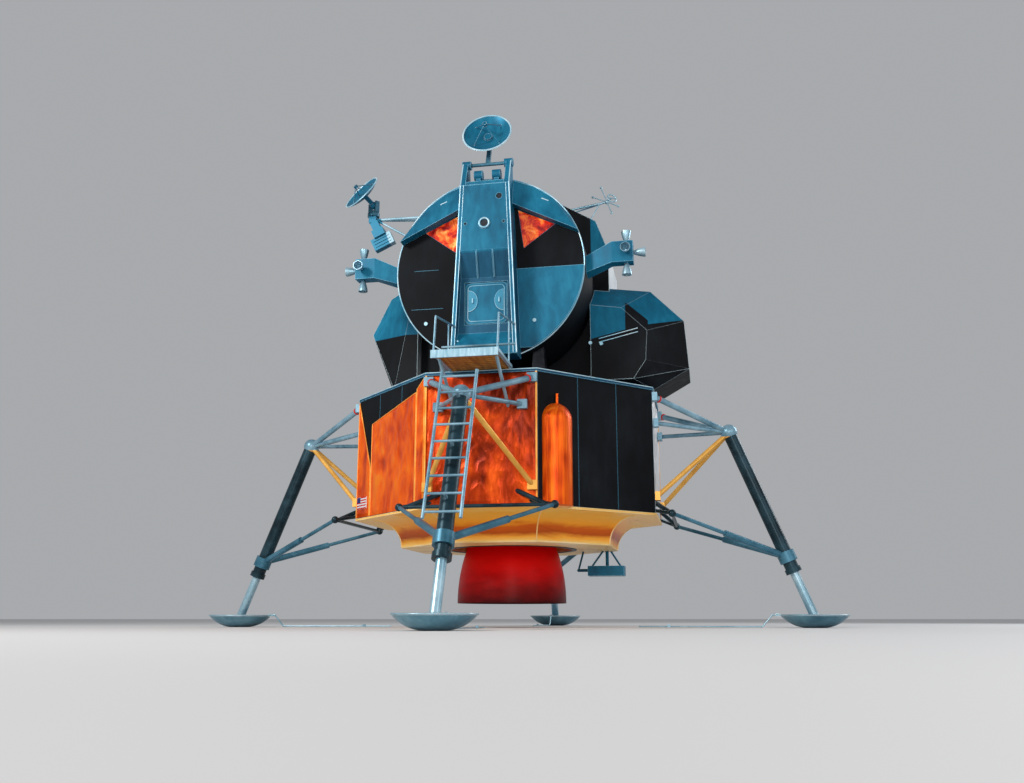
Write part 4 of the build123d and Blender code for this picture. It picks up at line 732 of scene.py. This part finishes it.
def stage_walls():
    """Creased foil on the faces behind the legs, and black panels on the faces between them."""
    for name, turns, finish, slot in (
        ("front_wall_foil", (6,), "front_foil_in_painted_shade", "orange_foil"),
        ("rear_wall_foil", (2,), "orange_foil", "orange_foil"),
        ("side_wall_foil", (0, 4), "silver_foil_as_painted_highlight", "strut_metal"),
    ):
        bm = bmesh.new()
        for turn in turns:
            add_foil(bm, turn, -FACE_HALF + WALL_GAP, FACE_HALF - WALL_GAP, WALL_FOOT, (WALL_TOP, WALL_TOP),
                     STAGE_FLAT, WALL_FOIL_PROUD, WALL_CREASE, 3.1 * turn)
        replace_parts(piece(name, bm, finish), "stage_walls")

    bm = bmesh.new()
    for turn in (1, 3, 5, 7):
        place = wall_place(turn)
        for left, right in WALL_PANELS:
            add_box(bm, (left, -DIAGONAL_FLAT, WALL_FOOT), (right, -DIAGONAL_FLAT + PANEL_DEPTH, WALL_TOP),
                    place, 0.002)
    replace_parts(piece("black_wall_panels", bm, "black_paint"), "stage_walls")


def foil_sheets():
    """The raised sheets of three faces between the legs, with pale gold lines of painted highlight along
    their folded edges, the left rear ones mirrored."""
    bm, strips = bmesh.new(), bmesh.new()
    for turn in (5, 3, 1):
        for order, (left, right, top_left, top_right) in enumerate(FOIL_SHEETS):
            if turn == 3:
                left, right, top_left, top_right = -right, -left, top_right, top_left
            add_foil(bm, turn, left, right, FOIL_FOOT, (top_left, top_right), DIAGONAL_FLAT,
                     SHEET_PROUD, SHEET_CREASE, 5.7 * turn + order)
            place = wall_place(turn)
            edge = -DIAGONAL_FLAT - FOIL_DEPTH
            outline = ((left, FOIL_FOOT), (left, top_left), (right, top_right), (right, FOIL_FOOT))
            corners = [place @ Vector((x, edge + STRIP_IN, z)) for x, z in outline]
            for start, end in zip(corners, corners[1:]):
                add_bar(strips, (start, end), LINE, segments=8)
    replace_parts(piece("creased_foil_sheets", bm, "orange_foil"), "foil_sheets")

    # Pale gold strips down the front wall's folded corners: painted highlight
    for x in (-FACE_HALF + STRIP_HALF, FACE_HALF - STRIP_HALF):
        add_box(strips, (x - STRIP_HALF, -STAGE_FLAT - STRIP_OUT, WALL_FOOT),
                (x + STRIP_HALF, -STAGE_FLAT + STRIP_IN, WALL_TOP), soft=0.003)
    piece("folded_foil_highlight_edges", strips, "gold_highlight_strip")


def base_trim():
    """Ribs down the skirt's corners and lines round its ledge and the deck's edge, as painted highlight, and
    a dark ring round the nozzle's hole."""
    bm = bmesh.new()
    corner = math.tan(math.radians(22.5))
    for turn in range(8):
        spin = Matrix.Rotation(math.radians(45 * turn), 3, "Z")
        path = []
        for step in range(13):
            angle = math.radians(90 * step / 12)
            out = PLATE_FLAT + COVE_RADIUS - COVE_RADIUS * math.cos(angle)
            path.append(spin @ Vector((out, out * corner, PLATE_TOP + COVE_RADIUS * math.sin(angle))))
        add_bar(bm, path, BOLD_LINE, segments=8)
    for height in (LEDGE_FOOT + LINE_INSET, WALL_FOOT - LINE_INSET):
        add_bar(bm, octagon(LEDGE_FLAT, height), THIN_LINE, closed=True, segments=8)
    piece("base_highlight_lines", bm, "pale_gold_highlight")

    bm = bmesh.new()
    rims = []
    for radius in HOLE_RING_SPAN:
        rim = bmesh.ops.create_circle(bm, segments=96, radius=radius,
                                      matrix=Matrix.Translation((0, 0, PLATE_FOOT)))
        rims += edges_at(rim["verts"])
    flat = bmesh.ops.bridge_loops(bm, edges=rims)
    thicken(bm, flat["faces"], (0, 0, -HOLE_RING_DEPTH))
    piece("nozzle_hole_ring", bm, "dark_metal")

    bm = bmesh.new()
    add_bar(bm, octagon(STAGE_FLAT + DECK_LINE_OUT, DECK_TOP - LINE_INSET), LINE, closed=True, segments=8)
    piece("deck_highlight_line", bm, "trim_and_highlight_metal")


def leg_marks():
    """Red rings round the upper outrigger tubes, close to their lugs."""
    bm = bmesh.new()
    for turn in range(4):
        spin = Matrix.Rotation(math.radians(90 * turn), 3, "Z")
        for side in (-1, 1):
            lug = Vector((LUG_OUT, side * LUG_SIDE, LUG_HEIGHT))
            way = (KNEE - lug).normalized()
            add_ring(bm, spin @ (lug + way * RING_FROM_LUG), spin @ way, RING_RADIUS, RING_THICKNESS, 24, 8)
    piece("outrigger_red_rings", bm, "red_paint")


def column_half(height):
    """Half the column's width at a height."""
    (low, low_half), (high, high_half) = COLUMN_HALF
    return low_half + (high_half - low_half) * (height - low) / (high - low)


def column_trim():
    """Rails along the column's edges as painted highlight lines, studs and a lamp ring on the column's front,
    the lamp's lens, and dark discs of painted shade deep in the ports.
    """
    bm = bmesh.new()
    for side in (-1, 1):
        for inset in (0.0, COLUMN_RAIL_INSET):
            foot, top = COLUMN_HALF[0][0], COLUMN_HALF[1][0]
            path = [(side * (column_half(foot) - inset), COLUMN_FRONT, foot + 0.01),
                    (side * (column_half(top) - inset), COLUMN_FRONT, top)]
            if not inset:
                path.append((side * COLUMN_HALF[1][1], RADAR_PIVOT.y - CHEEK_FORE, RADAR_PIVOT.z))
            add_bar(bm, path, HAIR_LINE if inset else BOLD_LINE)
    add_ring(bm, (0, COLUMN_FRONT - 0.018, COLUMN_LAMP_HEIGHT), FORE, COLUMN_LAMP_RING,
             LAMP_RING_THICKNESS, 40)
    for x, z in COLUMN_STUDS:
        add_disc(bm, (x, COLUMN_FRONT - 0.004, z), FORE, STUD_RADIUS, 0.008, 12)
    piece("column_highlight_rails", bm, "trim_and_highlight_metal")

    bm = bmesh.new()
    add_disc(bm, (0, COLUMN_FRONT - 0.006, COLUMN_LAMP_HEIGHT), FORE, COLUMN_LAMP_RADIUS, 0.012)
    # Dark discs deep in the ports: painted shade
    for x, z, radius in COLUMN_PORTS:
        add_disc(bm, (x, COLUMN_FRONT + PORT_DEPTH - 0.004, z), FORE, radius - 0.001, 0.006)
    piece("column_lens_and_port_shade", bm, "dark_metal")


def hatch_trim():
    """The hatch's seam, and its two half-round plates with their handles."""
    bm = bmesh.new()
    reach = SEAM_REACH - SEAM_CORNER
    path = []
    for quarter, (x, z) in enumerate(((1, 1), (-1, 1), (-1, -1), (1, -1))):
        for step in range(5):
            angle = math.radians(90 * quarter + 90 * step / 4)
            path.append((x * reach + SEAM_CORNER * math.cos(angle), HATCH_FRONT,
                         HATCH_HEIGHT + z * reach + SEAM_CORNER * math.sin(angle)))
    add_bar(bm, path, HAIR_LINE, closed=True, segments=8)
    wide, tall = HATCH_PLATE_REACH
    for side in (-1, 1):
        rim = []
        for degrees in range(-90, 91, 15):
            angle = math.radians(degrees)
            rim.append((side * (HATCH_PLATE_SIDE - wide * math.cos(angle)), HATCH_FRONT - 0.007,
                        HATCH_HEIGHT + HATCH_PLATE_RISE + tall * math.sin(angle)))
        add_bar(bm, rim, 0.004, segments=8)
        middle = side * HANDLE_SIDE
        add_box(bm, (middle - HANDLE_HALF, HATCH_FRONT - HANDLE_OUT, HATCH_HEIGHT),
                (middle + HANDLE_HALF, HATCH_FRONT - 0.006, HATCH_HEIGHT + HANDLE_HEIGHT), soft=0.003)
    piece("hatch_seam_and_handles", bm, "trim_and_highlight_metal", "forward_hatch")

    bm = bmesh.new()
    for side in (-1, 1):
        centre = Vector((side * HATCH_PLATE_SIDE, HATCH_FRONT - 0.008, HATCH_HEIGHT + HATCH_PLATE_RISE))
        add_half_disc(bm, centre, HATCH_PLATE_REACH, side, HATCH_PLATE_DEPTH)
    piece("hatch_side_plates", bm, "light_blue_paint", "forward_hatch")


def hit(node, x, z):
    """Where a look from the front first meets a CAD node, and which way its surface faces there."""
    found, place, facing, _ = nodes[node].ray_cast(Vector((x, LOOK_FROM, z)), Vector(BACK))
    if not found:
        raise SystemExit(f"nothing of {node} at {x}, {z}")
    return place, facing


def small_marks():
    """Slots in the brows, small lamps, the face's faint seams, a pale painted highlight line round its rim,
    and two pipes.
    """
    bm = bmesh.new()
    for x, z, lean in BROW_SLOTS:
        place, facing = hit("window_brows", x, z)
        upright = facing.to_track_quat("Z", "Y").to_matrix().to_4x4()
        spot = Matrix.Translation(place) @ upright @ Matrix.Rotation(math.radians(lean), 4, "Z")
        add_box(bm, SLOT_LOW, SLOT_HIGH, spot, 0.003)
    for node, x, z in SMALL_LAMPS:
        place, facing = hit(node, x, z)
        add_disc(bm, place + facing * SMALL_LAMP_OUT, facing, SMALL_LAMP_RADIUS, SMALL_LAMP_DEPTH, 20)
    piece("small_lamps_and_slots", bm, "trim_and_highlight_metal")

    bm = bmesh.new()
    for left, right, z in FACE_SEAMS:
        add_box(bm, (left, FACE_FRONT - SEAM_HALF, z - SEAM_HALF),
                (right, FACE_FRONT + 0.001, z + SEAM_HALF), soft=0.001)
    piece("face_seams", bm, "strut_blue")

    bm = bmesh.new()
    add_ring(bm, (0, FACE_FRONT, CABIN_HEIGHT), FORE, CABIN_RADIUS - FACE_RIM_INSET, BOLD_LINE, 144)
    for drop in PIPE_DROPS:
        ends = [hit("tank_bulges", x, z - drop)[0] + PIPE_OUT for x, z in PIPE_ENDS]
        add_bar(bm, ends, LINE)
    piece("face_highlight_rim_and_pipes", bm, "trim_and_highlight_metal")


def dish_rims():
    """Pale rolled rims of the two dishes, as painted highlight."""
    bm = bmesh.new()
    tilt = Matrix.Rotation(RADAR_AIM, 3, "X")
    centre = RADAR_PIVOT + tilt @ (RADAR_RIM - RADAR_PIVOT)
    add_ring(bm, centre, tilt @ Vector(FORE), RADAR_RIM_RADIUS, RADAR_RIM_THICKNESS, 72)
    piece("radar_dish_highlight_rim", bm, "trim_and_highlight_metal", "radar_dish")

    bm = bmesh.new()
    centre = STEER_PIVOT + STEER_WAY * STEER_RIM_OUT
    add_ring(bm, centre, STEER_WAY, STEER_RIM_RADIUS, STEER_RIM_THICKNESS, 72)
    piece("steerable_dish_highlight_rim", bm, "trim_and_highlight_metal", "antenna_dish")


def flag_plate():
    """A plain striped plate low on the left front sheet."""
    place = wall_place(5)
    left, right = FLAG_ACROSS - FLAG_HALF_WIDE, FLAG_ACROSS + FLAG_HALF_WIDE
    foot, top = FLAG_HEIGHT - FLAG_HALF_TALL, FLAG_HEIGHT + FLAG_HALF_TALL
    front = -DIAGONAL_FLAT - FOIL_DEPTH - FLAG_OUT
    bm = bmesh.new()
    add_box(bm, (left, front, foot), (right, front + FLAG_DEPTH, top), place, 0.002)
    piece("flag_plate", bm, "white_paint")

    bm = bmesh.new()
    band = 2 * FLAG_HALF_TALL / FLAG_BANDS
    for row in range(0, FLAG_BANDS, 2):
        low = foot + row * band
        beside_corner = row > FLAG_BANDS / 2
        start = FLAG_ACROSS - FLAG_HALF_WIDE * 0.2 if beside_corner else left + FLAG_RIM
        add_box(bm, (start, front - FLAG_PRINT, low + FLAG_PRINT),
                (right - FLAG_RIM, front + FLAG_PRINT, low + band), place)
    piece("flag_stripes", bm, "red_paint")

    bm = bmesh.new()
    add_box(bm, (left + FLAG_RIM, front - FLAG_PRINT, FLAG_HEIGHT + 0.004),
            (FLAG_ACROSS - FLAG_HALF_WIDE * 0.25, front + FLAG_PRINT, top - FLAG_RIM), place)
    piece("flag_corner", bm, "flag_blue")


def studio():
    """A pale floor, a pale sky, soft lamps and the camera at floor level."""
    bm = bmesh.new()
    bmesh.ops.create_circle(bm, cap_ends=True, segments=96, radius=FLOOR_RADIUS)
    mesh = bpy.data.meshes.new("floor")
    bm.to_mesh(mesh)
    bm.free()
    floor = bpy.data.objects.new("floor", mesh)
    bpy.context.scene.collection.objects.link(floor)
    tree, shader = new_finish("pale_floor")
    speck = clouds(tree, place_of(tree), 0.2, 2.0, 0.5)
    tree.links.new(ramp(tree, speck, [(0.3, (0.61, 0.61, 0.615)), (0.7, (0.63, 0.63, 0.63))]),
                   shader.inputs["Base Color"])
    shader.inputs["Roughness"].default_value = 0.75
    mesh.materials.append(finishes["pale_floor"])

    world = bpy.data.worlds.new("studio_sky")
    bpy.context.scene.world = world
    world.use_nodes = True
    back = world.node_tree.nodes["Background"]
    back.inputs["Color"].default_value = (*SKY_TINT, 1.0)
    back.inputs["Strength"].default_value = SKY_STRENGTH

    for name, place, size, power, tint in LAMPS:
        lamp = bpy.data.lights.new(name, "AREA")
        lamp.shape = "DISK"
        lamp.size = size
        lamp.energy = power
        lamp.color = tint
        stand = bpy.data.objects.new(name, lamp)
        stand.location = place
        stand.rotation_mode = "QUATERNION"
        stand.rotation_quaternion = (Vector(LAMPS_LOOK_AT) - Vector(place)).to_track_quat("-Z", "Y")
        bpy.context.scene.collection.objects.link(stand)

    lens = bpy.data.cameras.new("camera")
    lens.sensor_width = CAMERA_SENSOR
    lens.lens = CAMERA_LENS
    camera = bpy.data.objects.new("camera", lens)
    azimuth = math.radians(CAMERA_AZIMUTH)
    camera.location = (CAMERA_DISTANCE * math.sin(azimuth), -CAMERA_DISTANCE * math.cos(azimuth),
                       CAMERA_HEIGHT)
    camera.rotation_mode = "QUATERNION"
    camera.rotation_quaternion = (Vector(CAMERA_LOOKS_AT) - camera.location).to_track_quat("-Z", "Y")
    bpy.context.scene.collection.objects.link(camera)
    bpy.context.scene.camera = camera
    bpy.context.scene.view_settings.view_transform = "Standard"


stage_walls()
foil_sheets()
base_trim()
leg_marks()
column_trim()
hatch_trim()
small_marks()
dish_rims()
flag_plate()
studio()
